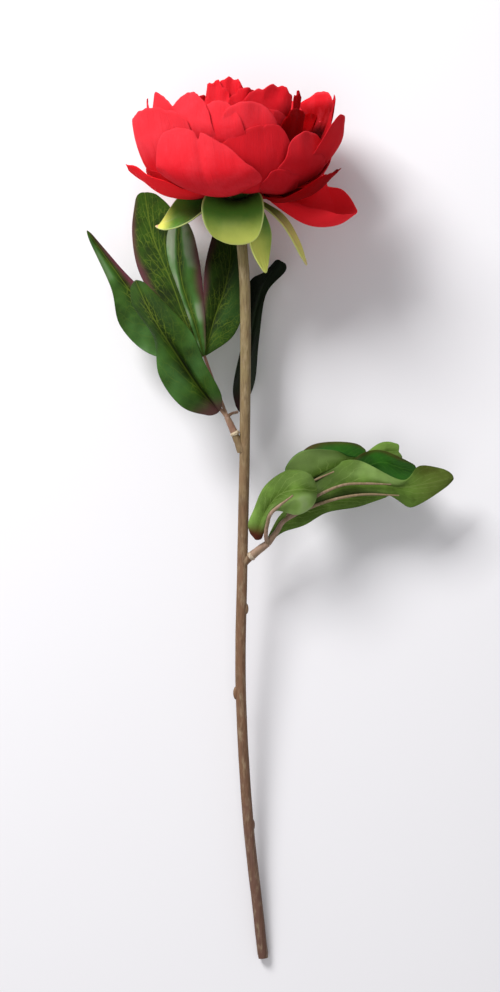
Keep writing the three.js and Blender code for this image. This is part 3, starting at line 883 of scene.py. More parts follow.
class Palette:
    """Every finish of the part, made once."""

    def __init__(self) -> None:
        """Builds the shared groups and the materials."""
        effects = Effects()
        self.petal = PetalSilk().make(effects)
        self.sepal = SepalPlastic().make(effects)
        self.stem = StemPlastic(
            "Stem plastic", foot=srgb(100, 72, 62), middle=srgb(118, 88, 66), top=srgb(134, 120, 84),
            shade=srgb(84, 64, 46), pale=srgb(168, 152, 124), low=-0.24, high=0.15,
        ).make(effects)
        self.collar = StemPlastic(
            "Collar plastic", foot=srgb(182, 164, 144), middle=srgb(186, 170, 142), top=srgb(186, 170, 142),
            shade=srgb(120, 98, 76), pale=srgb(216, 204, 184), low=-0.03, high=0.09,
        ).make(effects)
        self.stalk = StemPlastic(
            "Stalk plastic", foot=srgb(156, 128, 112), middle=srgb(132, 114, 86), top=srgb(138, 98, 86),
            shade=srgb(112, 92, 72), pale=srgb(186, 158, 142), low=-0.03, high=0.09,
        ).make(effects)
        self.leaf = LeafCloth(
            "Leaf face", dark=srgb(24, 40, 3), light=srgb(46, 74, 12), vein=srgb(108, 128, 40),
            blush=srgb(92, 50, 58), painted_sheen=srgb(76, 124, 58), veins=0.5, net=0.42,
        ).make(effects)
        # Painted shade: a darker copy of the leaf face, for the rear leaf that lies in shade.
        self.painted_shade_leaf = LeafCloth(
            "Shaded leaf face", dark=srgb(5, 10, 2), light=srgb(10, 20, 4), vein=srgb(18, 32, 8),
            blush=srgb(34, 9, 12), painted_sheen=srgb(20, 36, 14),
        ).make(effects)
        self.leaf_back = LeafCloth(
            "Leaf back", dark=srgb(66, 92, 26), light=srgb(102, 136, 54), vein=srgb(136, 160, 88),
            blush=srgb(76, 18, 18), painted_sheen=srgb(154, 186, 108), veins=0.35, net=0.12, roughness=(0.5, 0.7),
        ).make(effects)
        self.fold = LeafCloth(
            "Folded leaf face", dark=srgb(20, 56, 6), light=srgb(34, 84, 14), vein=srgb(60, 104, 28),
            blush=srgb(84, 16, 18), painted_sheen=srgb(60, 116, 44), veins=0.4, net=0.15,
        ).make(effects)


# ---------- the bloom


@dataclass(frozen=True)
class BloomSeat:
    """Where the bloom sits and how its axis leans."""

    base: Point = (-6, 417, 2)
    lean: float = math.radians(6)

    def around(self, radius: float, height: float, turn: float, sideways: float = 0.0) -> Vector:
        """A place round the bloom's axis.

        Args:
            radius: Distance from the axis.
            height: Distance along it.
            turn: Degrees: 0 is to the right, 90 to the front and 270 to the underside.
            sideways: Shift square to the radius.

        Returns:
            The place in the stem's plane.
        """
        c, s = math.cos(math.radians(turn)), math.sin(math.radians(turn))
        axis = Vector((0, math.cos(self.lean), math.sin(self.lean)))
        front = Vector((0, -math.sin(self.lean), math.cos(self.lean)))
        right = Vector((1, 0, 0))
        flat = right * (radius * c - sideways * s) + front * (radius * s + sideways * c)
        return Vector(self.base) + axis * height + flat


SEAT = BloomSeat()


@dataclass(frozen=True)
class Petal:
    """The shape of one petal or sepal, round the bloom's axis."""

    az: float  # turn round the axis
    line: tuple[tuple[float, float], ...]  # radius and height of its midline, root to tip
    wid: float  # its width laid flat
    claw: float = 0.5  # share of the width left at the root
    point: float = 0.0  # share of the width lost at the tip
    cup: float = 1.0  # cross curve as a share of the distance from the axis
    roll: float = 0.0  # slope across it
    wave: tuple[float, float, float] = (0, 2, 0)  # height, waves across, phase
    notch: tuple[float, float, float] = (0, 0, 1)  # depth, place across, width
    sway: float = 0.0  # sideways shift of its tip
    rim: tuple[float, ...] = (1.0, 1.0)  # its length from one side to the other, as shares
    frill: float = 0.35  # height of the small waves along its edge
    jag: float = 0.012  # unevenness of its outline
    dent: float = 1.1  # height of its soft undulation
    painted_shade_and_ripeness: float = 0.0  # painted shade: how much deeper its red is, and below 0 painted light; on a sepal, how much riper it is
    seed: float = 0.0
    crease: float = 0.0  # depth of a fold below its notch
    shade: float = 0.55  # how far up it the deeper colour of its root reaches, partly painted shade; a small value paints it lighter, with a wider painted highlight at the tip
    fade: float = 1.0  # how late its colour turns bright, late enough to paint shade over all but the tip; on a sepal, how late it ripens
    painted_side_light: float = 0.0  # painted light and shade: how much lighter one side is than the other
    rounding: float = 0.42  # 0 leaves the outline square, 0.5 makes it an ellipse
    open_at: float = 0.75  # where along it its full width is reached
    narrows_at: float = 0.45  # where along it it starts to narrow towards the tip
    tightest: float = 6.0  # least radius of its cross curve
    edge_waves: float = 11  # small waves round its edge
    pleats: float = 9  # fine pleats that fan out from its root
    pleat_depth: float = 0.16
    edge_from: float = 0.6  # how far out from its middle the waves of the edge start
    run_on: float = 2  # how far its line goes on past the tip

    def disc(self, s: float, t: float) -> tuple[float, float]:
        """The square of the grid rounded towards a disc."""
        x = s * math.sqrt(1 - t * t * self.rounding)
        return x, t * math.sqrt(1 - s * s * self.rounding)

    def share(self, s: float, t: float) -> float:
        """How far from root to tip a point of the grid lies.

        Args:
            s: Across it, -1 to 1.
            t: Along it, -1 to 1.

        Returns:
            0 at the root and about 1 at the tip.
        """
        x, y = self.disc(s, t)
        cut = self.notch[0] * math.exp(-(((x - self.notch[1]) / self.notch[2]) ** 2)) * max(0.0, y)
        coarse, fine, fine_share = 5, 13, 0.5
        ragged = ripple_at(coarse * x, 1.0, self.seed) + fine_share * ripple_at(fine * x, 2.0, self.seed)
        uneven = self.jag * ragged
        length = Curve([(share, 0) for share in self.rim]).at((x + 1) / 2).x
        return (y - cut + 1) / 2 * length + uneven * max(0.0, y)

    def colour_at(self, s: float, t: float) -> float:
        """How bright a red a point of the grid has: deeper towards the root, partly the cloth's own colour
        and partly painted shade.
        """
        return max(0.0, self.share(s, t) / self.shade) ** self.fade

    def painted_shade_and_ripeness_at(self, s: float, t: float) -> float:
        """Painted shade of a point of the grid, whatever its place along the petal; on a sepal, its
        ripeness.
        """
        return self.painted_shade_and_ripeness + self.painted_side_light * s

    def ripeness_at(self, s: float, t: float) -> float:
        """How far a point of a sepal is from green to pale, with painted side light."""
        return max(0.0, self.share(s, t)) ** self.fade + self.painted_shade_and_ripeness_at(s, t)

    def at(self, s: float, t: float) -> Vector:
        """The petal's surface at a point of the grid.

        Args:
            s: Across the petal, -1 to 1.
            t: From its root to its tip, -1 to 1.

        Returns:
            The place in the stem's plane.
        """
        x, y = self.disc(s, t)
        along = self.share(s, t)
        middle = Curve(self.line)
        radius, height, _ = middle.at(along)
        near_tip = 0.999  # past it the line has no direction of its own
        outwards, upwards, _ = middle.along(min(along, near_tip))
        if along > 1:
            end = middle.points[-1] - middle.points[-2]
            radius += end.x * (along - 1) * self.run_on
            height += end.y * (along - 1) * self.run_on
        opened = self.claw + (1 - self.claw) * smoothstep(along, 0, self.open_at)
        narrow = 1 - self.point * smoothstep(along, self.narrows_at, 1)
        across = x * (self.wid / 2) * opened * narrow
        curve = max(self.tightest, self.cup * radius)
        sideways = curve * math.sin(across / curve)
        high, waves, phase = self.wave
        lift = high * math.cos(math.pi * waves * x + phase) * along**2
        rim = smoothstep(math.hypot(x, max(y, 0)), self.edge_from, 1.0)
        hub, start, ripples, uneven = 0.4, 5, 9, 0.7  # of the edge: centre, shift by seed, noise
        turn = math.atan2(x, y + hub)
        lift += self.frill * rim * math.sin(self.edge_waves * turn + start * self.seed)
        lift += uneven * self.frill * rim * ripple_at(ripples * turn, 0.0, self.seed)
        dents_across, dents_along = 1.3, 1.6
        dent = ripple_at(dents_across * x, dents_along * y, self.seed)
        lift += self.dent * dent * smoothstep(along, 0.1, 0.5)
        fan, twist = 0.35, 1.2  # how close the pleats run at the root, and how they change on the way
        pleat = ripple_at(self.pleats * x / (fan + along), twist * along, self.seed)
        lift += self.pleat_depth * pleat * smoothstep(along, 0.2, 0.8)
        notch_to_fold = 3  # the fold below a notch is this much wider
        fold = (x - self.notch[1]) / (notch_to_fold * self.notch[2])
        lift += self.crease * math.exp(-fold * fold) * smoothstep(along, 0.35, 0.8)
        inwards = curve * (1 - math.cos(across / curve)) + lift + self.roll * across
        shift = sideways + self.sway * along**2
        return SEAT.around(radius - upwards * inwards, height + outwards * inwards, self.az, shift)


def ring_of(turns: Sequence[float], shape: Petal) -> list[Petal]:
    """A ring of petals: every second one is set a little inwards, and each waves its own way.

    Args:
        turns: The turn of each petal round the axis.
        shape: What they have in common.

    Returns:
        The petals.
    """
    step, full_from = 1.4, 30
    ring = []
    for k, az in enumerate(turns):
        inner = step if k % 2 else 0.0
        line = tuple((r - inner * min(1.0, r / full_from), h) for r, h in shape.line)
        wave = (shape.wave[0], 2, 1.7 * k)
        ring.append(replace(shape, az=az, line=line, wave=wave, seed=shape.seed + 0.37 * k))
    return ring


def even_turns(count: int, first: float) -> list[float]:
    """Evenly spread turns round the axis."""
    return [first + 360 * k / count for k in range(count)]


# The large petals of the outer bowl, each where it is seen; those in shade are painted a deeper red
BOWL_PETALS: list[Petal] = [
    Petal(
        105, ((10, 2.5), (25, -2.6), (43, -2), (54, 9), (53, 30)), 64, sway=8,
        rim=(0.77, 0.87, 0.93, 0.965, 1.0, 1.05, 1.065, 1.03, 0.94), notch=(0.12, 0.02, 0.03),
        rounding=0.34, crease=1.2, painted_shade_and_ripeness=0.03, painted_side_light=-0.03, seed=1,
    ),
    Petal(
        80, ((10, 2.5), (24, -1.2), (37, 1.5), (46, 14), (47, 33)), 54, rim=(0.95, 1.06, 0.99, 0.96, 0.92),
        notch=(0.03, -0.2, 0.04), painted_shade_and_ripeness=0.28, seed=2,
    ),
    Petal(41, ((10, 3), (26, 0), (41, 4), (50, 15), (49, 31)), 38, cup=0.8, painted_shade_and_ripeness=0.2, seed=3),
    Petal(
        150, ((10, 3), (28, -1), (45, 6), (55, 22), (58.5, 42)), 62, cup=0.62, roll=-0.14,
        rim=(1.0, 1.03, 1.01, 0.98, 0.96), jag=0.035, rounding=0.34, shade=0.46, seed=4,
    ),
    Petal(19, ((10, 3), (27, 0.5), (43.5, 10), (54.5, 25), (58, 41)), 38, rounding=0.48, painted_shade_and_ripeness=0.26, seed=5),
    Petal(
        25, ((10, 2), (24, -5.5), (42, -3), (57, 9)), 38, cup=0.8, roll=-0.18,
        rim=(1.03, 1.06, 0.99, 1.04, 0.95), jag=0.05, rounding=0.24, seed=6, painted_shade_and_ripeness=0.95,
    ),
    Petal(
        55, ((10, 3), (23, -1), (34.5, -1.5), (42.5, 4), (46.5, 10.5)), 26, cup=0.9, rim=(0.94, 1.0, 1.05),
        rounding=0.38, shade=1.1, seed=7, painted_shade_and_ripeness=0.2,
    ),
    Petal(165, ((10, 2), (24, -4), (42, 0), (52, 12)), 40, cup=0.8, seed=44, painted_shade_and_ripeness=0.5),
]


def second_petals() -> list[Petal]:
    """The second row on the front and the sides.

    Returns:
        The petals.
    """
    row = [
        Petal(
            143, ((9, 5), (24, 8), (39, 20), (47, 36), (48, 52)), 38, point=0.2, sway=5,
            rim=(0.88, 0.93, 0.97, 1.04, 0.92), shade=0.45, seed=8,
        ),
        Petal(173, ((9, 5), (26, 8), (41, 18), (48, 33), (50, 50.5)), 27, point=0.4, seed=9),
        Petal(
            126, ((9, 5), (26, 7), (42, 17), (48.5, 33), (45, 51)), 38, rim=(0.92, 0.99, 1.0, 0.97, 0.92),
            notch=(0.03, 0.5, 0.06), shade=0.45, seed=10,
        ),
        Petal(104, ((9, 5), (25, 6), (40, 15), (47, 29), (45, 46)), 34, rim=(0.96, 1, 1, 0.97), seed=11),
        Petal(
            82, ((9, 5), (24, 6), (37, 15), (45, 29), (45.5, 45.5)), 35, rim=(0.9, 0.98, 1.0, 1.01, 1.0),
            rounding=0.32, seed=12,
        ),
        # Its painted shadow from the heart covers all but its tip.
        Petal(
            332, ((9, 5), (26, 8), (42, 20), (50, 38), (52, 56)), 50, rounding=0.3,
            rim=(0.98, 1.0, 1.0, 0.97), shade=0.95, fade=13.0, seed=13,
        ),
        # Painted a deeper red for the shade it lies in.
        Petal(353, ((9, 5), (25, 8), (40.5, 20), (49.5, 36), (52.5, 53)), 16, point=0.4, painted_shade_and_ripeness=0.5, seed=14),
    ]
    return [replace(petal, claw=0.7) for petal in row]


def guard_petals() -> list[Petal]:
    """The wide petals under the bowl: two that spread and two that rest on the surface.

    Returns:
        The petals.
    """
    low = ((10, 2), (26, -3), (43, 1), (55, 12), (60, 26))
    return [
        # The two that spread are painted lighter than the lamp leaves them, with little deeper red at the
        # root.
        Petal(
            163, ((10, 2), (24, -4), (40, -2.3), (53, 5), (63, 14.5)), 42, cup=0.8, point=0.4, shade=0.35,
            seed=15, painted_shade_and_ripeness=-0.9,
        ),
        Petal(
            4, ((10, 2), (22, -8), (38, -17), (53, -17), (64, -10.5)), 58, cup=0.34, roll=-0.36, shade=0.3,
            rim=(1.16, 1.09, 1.02, 1.0, 0.98), frill=0.12, dent=0.4, rounding=0.47, seed=16, painted_shade_and_ripeness=-0.6,
        ),
        Petal(236, low, 52, seed=17),
        Petal(304, low, 52, seed=18),
    ]


def back_petals() -> list[Petal]:
    """Two rings on the side away from the front.

    Returns:
        The petals.
    """
    outer = Petal(0, ((10, 3), (26, 0), (42, 4), (50, 17), (51, 40)), 50, seed=18)
    inner = Petal(0, ((9, 5), (23, 8), (37, 20), (45, 36), (46, 53)), 38, seed=21)
    return ring_of([332, 203, 246, 290], outer) + ring_of([200, 236, 272, 304], inner)


def middle_petals() -> list[Petal]:
    """The ring between the rows and the heart.

    Returns:
        The petals, with the two in front of it on the right.
    """
    shape = Petal(0, ((8, 9), (18, 14), (28, 24), (34, 34), (34, 43)), 34, wave=(1.2, 2, 0), seed=25)
    # Their deeper red reaches far up: painted shade deep in the bloom.
    shape = replace(shape, frill=0.8, jag=0.02, shade=0.85)
    # Two in the dark recess on the right, painted a deep red for its shade.
    right = [
        Petal(338, ((8, 9), (22, 14), (36, 26), (42, 38), (42, 44)), 26, seed=45, painted_shade_and_ripeness=1.0),
        Petal(
            30, ((8, 9), (20, 14), (31, 26), (36, 37), (36, 44)), 24, wave=(0.8, 2, 0), seed=46, painted_shade_and_ripeness=0.95,
        ),
    ]
    return ring_of(even_turns(7, 10), shape) + [replace(p, frill=0.6, shade=0.85) for p in right]


def heart_petals() -> list[Petal]:
    """The crowded crimped petals in the middle.

    Returns:
        The petals: those seen in front, then two rings.
    """
    # Those on the right are painted deeper, for the shade they lie in.
    front = [
        Petal(130, ((6, 14), (14, 26), (20, 42), (19.5, 58.5)), 22, wave=(0.8, 2, 1), seed=33),
        Petal(
            103, ((6, 14), (12, 26), (17, 42), (17, 60.5)), 27, wave=(1.4, 3, 1), rim=(0.93, 0.98, 1, 1),
            seed=34,
        ),
        Petal(78, ((6, 14), (14, 26), (21, 40), (22, 54.5)), 24, wave=(1.2, 2, 2), seed=35, painted_shade_and_ripeness=0.1),
        Petal(
            70, ((7, 12), (18, 22), (29, 38), (31, 55)), 37, sway=-8, wave=(0.6, 2, 0),
            rim=(1.0, 1.03, 1, 0.98), seed=36,
        ),
        Petal(12, ((7, 12), (18, 22), (30, 38), (32.8, 54)), 11, roll=0.3, seed=37, painted_shade_and_ripeness=0.7),
        Petal(20, ((7, 12), (16, 22), (24, 36), (26, 47)), 18, wave=(1, 2, 0), seed=47, painted_shade_and_ripeness=0.5),
    ]
    wide = Petal(0, ((6, 12), (13, 26), (20, 42), (21, 52)), 26, wave=(1.8, 2, 0), seed=38)
    small = Petal(0, ((3, 16), (6, 30), (8, 42), (9, 53)), 16, wave=(1.8, 2, 0), seed=43)
    crimped = [*front, *ring_of([190, 235, 280, 325], wide), *ring_of(even_turns(3, 55), small)]
    # Their deeper red reaches far up: painted shade deep in the bloom.
    return [replace(p, frill=0.7, jag=0.05, shade=0.75) for p in crimped]


@dataclass
class Bloom:
    """The flower head: rings of cloth petals on a small core."""

    palette: Palette
    sheet: Sheet = Sheet(24, 26, 0.5)
    fine: Sheet = Sheet(64, 34, 0.5)
    small: Sheet = Sheet(28, 22, 0.5)
    small_below: float = 35  # width of a petal that takes the small grid
    core_line: tuple[float, ...] = (0.4, 3, 9, 18, 28, 35, 36)
    core_radii: tuple[float, ...] = (11, 18, 20, 18, 12, 5, 0.6)
    rings: dict[str, list[Petal]] = field(
        default_factory=lambda: {
            "bowl_petals": BOWL_PETALS,
            "second_petals": second_petals(),
            "guard_petals": guard_petals(),
            "back_petals": back_petals(),
            "middle_petals": middle_petals(),
            "heart_petals": heart_petals(),
        }
    )

    def petal(self, name: str, shape: Petal) -> Piece:
        """Makes one petal.

        Args:
            name: The piece's name.
            shape: Its shape.

        Returns:
            The finished sheet.
        """
        sheet = self.sheet
        if shape.notch[0]:
            sheet = self.fine
        elif shape.wid < self.small_below:
            sheet = self.small
        tags = {"along": shape.colour_at, "painted_shade_and_ripeness": shape.painted_shade_and_ripeness_at}
        return sheet.make(name, shape.at, tags, [self.palette.petal])

    def core(self) -> Piece:
        """The small core that the petals are fixed to."""
        line = [tuple(SEAT.around(0, h, 0)) for h in self.core_line]
        return Bar(line, self.core_radii, rings=24, sides=32).make("bloom_core", self.palette.petal)

    def build(self) -> None:
        """Makes the core and every ring of petals."""
        hand_over(self.core(), Slot.PETAL, "bloom")
        for name, shapes in self.rings.items():
            petals = [self.petal(f"{name}_{k}", shape) for k, shape in enumerate(shapes)]
            hand_over(joined(name, petals), Slot.PETAL, "bloom")


# ---------- the calyx


@dataclass
class Calyx:
    """The moulded cup under the bloom and its hanging sepals."""

    palette: Palette
    depth: float = 7  # of the cup
    overlap: float = 0.1  # how far the cup reaches past the bloom's seat
    cup_ripeness: float = 0.25  # how far the cup is from green to pale
    sheet: Sheet = Sheet(18, 22, 0.9)
    radii: tuple[float, ...] = (3.9, 4.4, 6.2, 8.6, 10.8, 10.4)
    # Painted side light makes the half of a sepal that faces the lamp paler.
    sepals: dict[str, Petal] = field(
        default_factory=lambda: {
            "sepal_front": Petal(
                98, ((5, -5), (14, -5.4), (20, -10), (22, -18.5), (17, -29)), 41, cup=1.1, claw=0.7,
                point=0.15, sway=-2, rounding=0.49,
            ),
            "sepal_left": Petal(
                168, ((5, -4), (14, -6), (22, -9.5), (31, -14.2), (40, -18.2), (46, -20)), 27, claw=0.75,
                cup=0.6, roll=0.5, point=0.75, notch=(0.001, 0.0, 0.1), crease=1.2, painted_shade_and_ripeness=0.27, painted_side_light=0.14,
                fade=2.8, seed=1,
            ),
            "sepal_right": Petal(
                0, ((5, -4), (14, -8), (23.8, -16.4), (31.9, -29), (36.9, -40)), 14, cup=0.6, roll=-0.35,
                point=0.5, painted_shade_and_ripeness=0.14, painted_side_light=0.03, fade=0.6, seed=2,
            ),
            "sepal_low_right": Petal(
                55, ((5, -4), (12, -9), (14, -20), (15.2, -33), (16.6, -44)), 20, cup=0.9, point=0.6,
                painted_shade_and_ripeness=0.02, painted_side_light=0.08, fade=0.5, sway=-6, seed=3,
            ),
            "sepal_under": Petal(262, ((5, -4), (16, -6), (26, -13), (32, -23)), 24, cup=0.8, seed=4),
        }
    )

    def cup(self) -> Piece:
        """The cup, as a bar that widens along the bloom's axis.

        Returns:
            The piece, with its colour's number at each point.
        """
        count = len(self.radii)
        rise = (self.depth + self.overlap) / (count - 1)
        line = [tuple(SEAT.around(0, -self.depth + rise * k, 0)) for k in range(count)]
        piece = Bar(line, self.radii, rings=15, sides=32).make("calyx_cup", self.palette.sepal)
        tag(piece, "ripe", lambda x, y: self.cup_ripeness)
        return piece

    def build(self) -> None:
        """Makes the cup and the sepals."""
        hand_over(self.cup(), Slot.CALYX, "calyx")
        for name, shape in self.sepals.items():
            shape = replace(shape, frill=0.12, jag=0.0, dent=0.35)
            tags = {"ripe": shape.ripeness_at}
            piece = self.sheet.make(name, shape.at, tags, [self.palette.sepal])
            hand_over(piece, Slot.CALYX, "calyx")


# ---------- the stem


@dataclass
class Stem:
    """The moulded stem with its node bumps and side stubs."""

    palette: Palette
    radius: float = 2.9
    rounding: float = 0.35  # how much thinner it is at its cut end
    reach: float = 7.1  # how far below the bloom's seat it ends, at the foot of the cup
    line: tuple[Point, ...] = (
        (7.2, -0.5, 0), (4.4, 25, 0), (-1.5, 80, 0), (-5.1, 150, 0), (-4.1, 217, 0), (-2.7, 290, 0),
        (-2.6, 358, 0), (-4.5, 390, 0.2),
    )
    bumps: tuple[tuple[Point, Point], ...] = (
        ((-2.6, 190, 0), (1.8, 3.4, 1.8)), ((-7.6, 144, 0), (1.6, 3.6, 1.8)),
        ((0.9, 72, 0), (1.8, 3.8, 1.8)),
    )
    collars: tuple[tuple[Point, ...], ...] = (
        ((-7.9, 284.6, 1.25), (-8.3, 285.5, 1.35), (-8.8, 286.4, 1.4)),
        ((-0.2, 217.9, 1.4), (0.6, 218.7, 1.6), (1.5, 219.5, 1.75)),
    )
    upper_stub: tuple[Point, ...] = ((-4.4, 276, 0), (-6.6, 281, 1), (-8.6, 286, 1.4))
    lower_stub: tuple[Point, ...] = ((-4.8, 213.4, 0), (-2, 216.2, 0.8), (1, 219, 1.6))
    stub_radii: tuple[float, ...] = (2.7, 2.1, 1.95)
    collar_radii: tuple[float, ...] = (2.1, 2.55, 2.65, 2.5, 2.1)

    def shaft(self) -> Piece:
        """The long bar, a little uneven and rounded at its cut end.

        Returns:
            The bar.
        """
        top = tuple(SEAT.around(0, -self.reach, 0))
        radii = [self.radius - self.rounding] + [self.radius] * 60
        bar = Bar((*self.line, top), radii, rings=150, sides=20, rough=0.13, seed=3)
        return bar.make("stem_shaft", self.palette.stem)

    def bump(self, k: int) -> Piece:
        """One node bump: a ball drawn out along the stem.

        Args:
            k: Its number.

        Returns:
            The bump.
        """
        place, size = self.bumps[k]
        uneven = 0.08
        piece = added("bump", bpy.ops.mesh.primitive_uv_sphere_add, segments=20, ring_count=12, radius=1)
        for v in piece.data.vertices:
            swell = 1 + uneven * ripple_at(v.co.x * 2, v.co.y * 2, k)
            local = Vector(place) + Vector((v.co.x * size[0], v.co.z * size[1], v.co.y * size[2])) * swell
            v.co = LAY.place(local)
        turn_outwards(piece)
        bpy.ops.object.shade_smooth()
        piece.data.materials.append(self.palette.stem)
        return piece

    def stub(self, line: Sequence[Point]) -> Piece:
        """One side stub, which swells where it leaves the stem."""
        bar = Bar(line, self.stub_radii, rings=8, sides=16, rough=0.1)
        return bar.make("stub", self.palette.stem)

    def collar(self, line: Sequence[Point]) -> Piece:
        """The pale ragged ring where a spray is plugged onto its stub."""
        bar = Bar(line, self.collar_radii, rings=10, sides=24, rough=0.35, seed=line[0][0])
        return bar.make("collar", self.palette.collar)

    def build(self) -> None:
        """Makes the stem as one piece."""
        parts = [self.shaft()]
        parts += [self.bump(k) for k in range(len(self.bumps))]
        parts += [self.stub(self.upper_stub), self.stub(self.lower_stub)]
        parts += [self.collar(line) for line in self.collars]
        hand_over(joined("stem", parts), Slot.STEM, "main_stem")


# ---------- stalks


@dataclass(frozen=True)
class Stalk:
    """One bar of a spray's stalks."""

    line: tuple[Point, ...]
    radii: tuple[float, ...]


@dataclass
class Stalks:
    """The stalks of one spray, joined where they fork."""

    name: str
    node: str
    palette: Palette
    bars: tuple[Stalk, ...]

    def build(self) -> None:
        """Makes the bars and joins them into one piece."""
        parts = []
        for k, stalk in enumerate(self.bars):
            bar = Bar(stalk.line, stalk.radii, rings=6 * len(stalk.line), sides=12, rough=0.08, seed=k)
            parts.append(bar.make(f"{self.name}_{k}", self.palette.stalk))
        hand_over(joined(self.name, parts), Slot.STALK, self.node)


def upper_stalks() -> tuple[Stalk, ...]:
    """The petiole of the upper spray and its three stalks.

    Returns:
        Its bars.
    """
    fork = (-12.6, 294.6, 1.8)
    return (
        Stalk(((-8.2, 285.2, 1.3), (-10.4, 290, 1.6), fork), (2.15, 1.9, 1.6)),
        Stalk((fork, (-14.6, 297, 1.6), (-18, 301, 3.2)), (1.2, 1.0, 0.8)),
        Stalk((fork, (-15, 301.5, -1), (-20, 314, -4.6), (-25, 328.4, -4.4)), (1.1, 0.9, 0.9, 0.8)),
        Stalk((fork, (-10, 296.5, -2), (-7, 297.6, -7.4)), (1.0, 0.8, 0.8)),
    )


def lower_stalks() -> tuple[Stalk, ...]:
    """The petiole of the lower spray and the ribs that it forks to.

    Returns:
        Its bars.
    """
    fork = (9.8, 225.8, 2.4)
    second = (20, 239, 4.2)
    return (
        Stalk(((0.6, 218.7, 1.6), (5, 222.3, 2.2), fork), (2.4, 2.2, 1.9)),
        Stalk(
            (fork, (8.6, 230, 8.8), (9.4, 236.5, 13.8), (12, 243, 18.2), (23, 251.8, 22.4)),
            (1.5, 1.15, 1.05, 1.0, 0.5),
        ),
        Stalk(
            (fork, (14.5, 232, 3.4), second, (39.5, 247.8, 4.4), (60, 252.2, 5.2), (81, 251.8, 5.4)),
            (1.8, 1.5, 1.2, 0.85, 0.7, 0.35),
        ),
        Stalk(
            (
                second, (30, 247, 5), (38, 252.4, 6.4), (50.5, 257.5, 7.4), (63, 258.2, 7.6),
                (76.6, 257.8, 6.6),
            ),
            (1.2, 0.95, 0.8, 0.75, 0.65, 0.35),
        ),
        Stalk(
            (second, (23, 247, 1.8), (28, 255.5, -0.4), (36, 260.4, -1.4), (46, 264.8, -2.2)),
            (0.9, 0.8, 0.7, 0.65, 0.5),
        ),
    )


# ---------- leaves


@dataclass(frozen=True)
class Lobe:
    """One lobe of a leaf, drawn by its rib and its two edges from base to tip."""

    rib: tuple[Point, ...]
    left: tuple[Point, ...]
    right: tuple[Point, ...]
    bulge: float
    blush: tuple[float, float, float, float] = (0.0, 0.0, 0.0, 0.0)  # left, right, base, tip
    painted_sheen: tuple[float, float] = (0.2, 0.2)  # painted sheen on the left half and on the right
    painted_sheen_end: float = 1.0  # share of its painted sheen that is left at the tip
    reach: float = 0.62  # how far from the rib the red margin starts
    painted_shade: tuple[float, float] = (0.0, 0.0)  # painted shade on its base and on its upper part
    crease: float = 0.0  # depth of a fold beside the rib, near the base, and how strong its painted shadow is
    blunt: float = 0.05  # share of its length that its corners are rounded over
    turned: bool = False  # whether it shows its other side
    seed: float = 0.0
    uneven: float = 0.35  # height of its soft undulation
    wave: tuple[float, float] = (0.3, 16)  # height and pace of the waves along its edges
    fold: Point = (0.14, 0.13, 0.3)  # the crease's place across, width and place along
    waver: float = 0.12  # how unevenly the red margin starts

    def at(self, s: float, t: float) -> Vector:
        """The lobe's surface at a point of the grid.

        Args:
            s: Across the lobe, -1 at its left edge and 1 at its right.
            t: Along it, -1 at its base and 1 at its tip.

        Returns:
            The place in the stem's plane.
        """
        along = (t + 1) / 2
        corner = 1 - math.sqrt(max(0.0, 1 - s * s))
        foot = 0.6  # how much less its base is rounded than its tip
        along -= self.blunt * corner * (smoothstep(along, 0.7, 1) - foot * smoothstep(along, 0.15, 0))
        rib_line = Curve(self.rib)
        rib = rib_line.at(along)
        edge = Curve(self.left if s < 0 else self.right).at(along)
        across = edge - rib
        lift = across.cross(rib_line.along(along)).normalized()
        if s < 0:
            lift.negate()
        share = abs(s)
        ends = math.sin(math.pi * along)
        height = self.bulge * 4 * share * (1 - share) * ends
        dents_across, dents_along = 2.2, 5
        height += self.uneven * ripple_at(dents_across * s, dents_along * along, self.seed) * ends
        high, pace = self.wave
        height += high * smoothstep(share, 0.6, 1) * math.sin(pace * along + 3 * self.seed + s) * ends
        place, width, middle = self.fold
        fold = math.exp(-(((s - place) / width) ** 2)) * smoothstep(abs(along - middle), 0.35, 0.1)
        return rib + across * share + lift * (height - self.crease * fold)

    def blush_at(self, s: float, t: float) -> float:
        """How red a point of the lobe is.

        Args:
            s: Across it, -1 to 1.
            t: Along it, -1 to 1.

        Returns:
            0 for not at all, 1 for fully.
        """
        along = (t + 1) / 2
        left, right, base, tip = self.blush
        side = left if s < 0 else right
        wavers, ends_share = 6, 0.4  # waves along the margin, and what is left of it at both ends
        out = abs(s) + self.waver * ripple_at(wavers * along, s, self.seed)
        margin = side * smoothstep(out, self.reach, 1.0)
        margin *= ends_share + (1 - ends_share) * math.sin(math.pi * along)
        foot = base * smoothstep(along, 0.2, 0.04)
        end = tip * smoothstep(along, 0.68, 0.92)
        return min(1.0, margin + foot + end)

    def painted_sheen_at(self, s: float, t: float) -> float:
        """How much painted sheen a point of the lobe gets.

        Args:
            s: Across it, -1 to 1.
            t: Along it, -1 to 1.

        Returns:
            0 for not at all, 1 or more for a full shine.
        """
        share = self.painted_sheen[0] if s < 0 else self.painted_sheen[1]
        share *= 1 - (1 - self.painted_sheen_end) * smoothstep(t, 0.1, 0.6)
        return share * smoothstep(abs(s), 0.05, 0.4)

    def painted_shade_at(self, s: float, t: float) -> float:
        """How much painted shade a point of the lobe gets.

        Args:
            s: Across it, -1 to 1.
            t: Along it, -1 to 1.

        Returns:
            0 for not at all, 1 for the darkest.
        """
        base, upper = self.painted_shade
        place, width, middle = 0.08, 0.11, -0.4  # of the painted shadow in the crease
        fold = math.exp(-(((s - place) / width) ** 2)) * smoothstep(abs(t - middle), 0.75, 0.3)
        ends = base * smoothstep(t, -0.2, -0.6) + upper * smoothstep(t, -0.5, 0.3)
        return min(1.0, ends + min(1.0, self.crease) * fold)


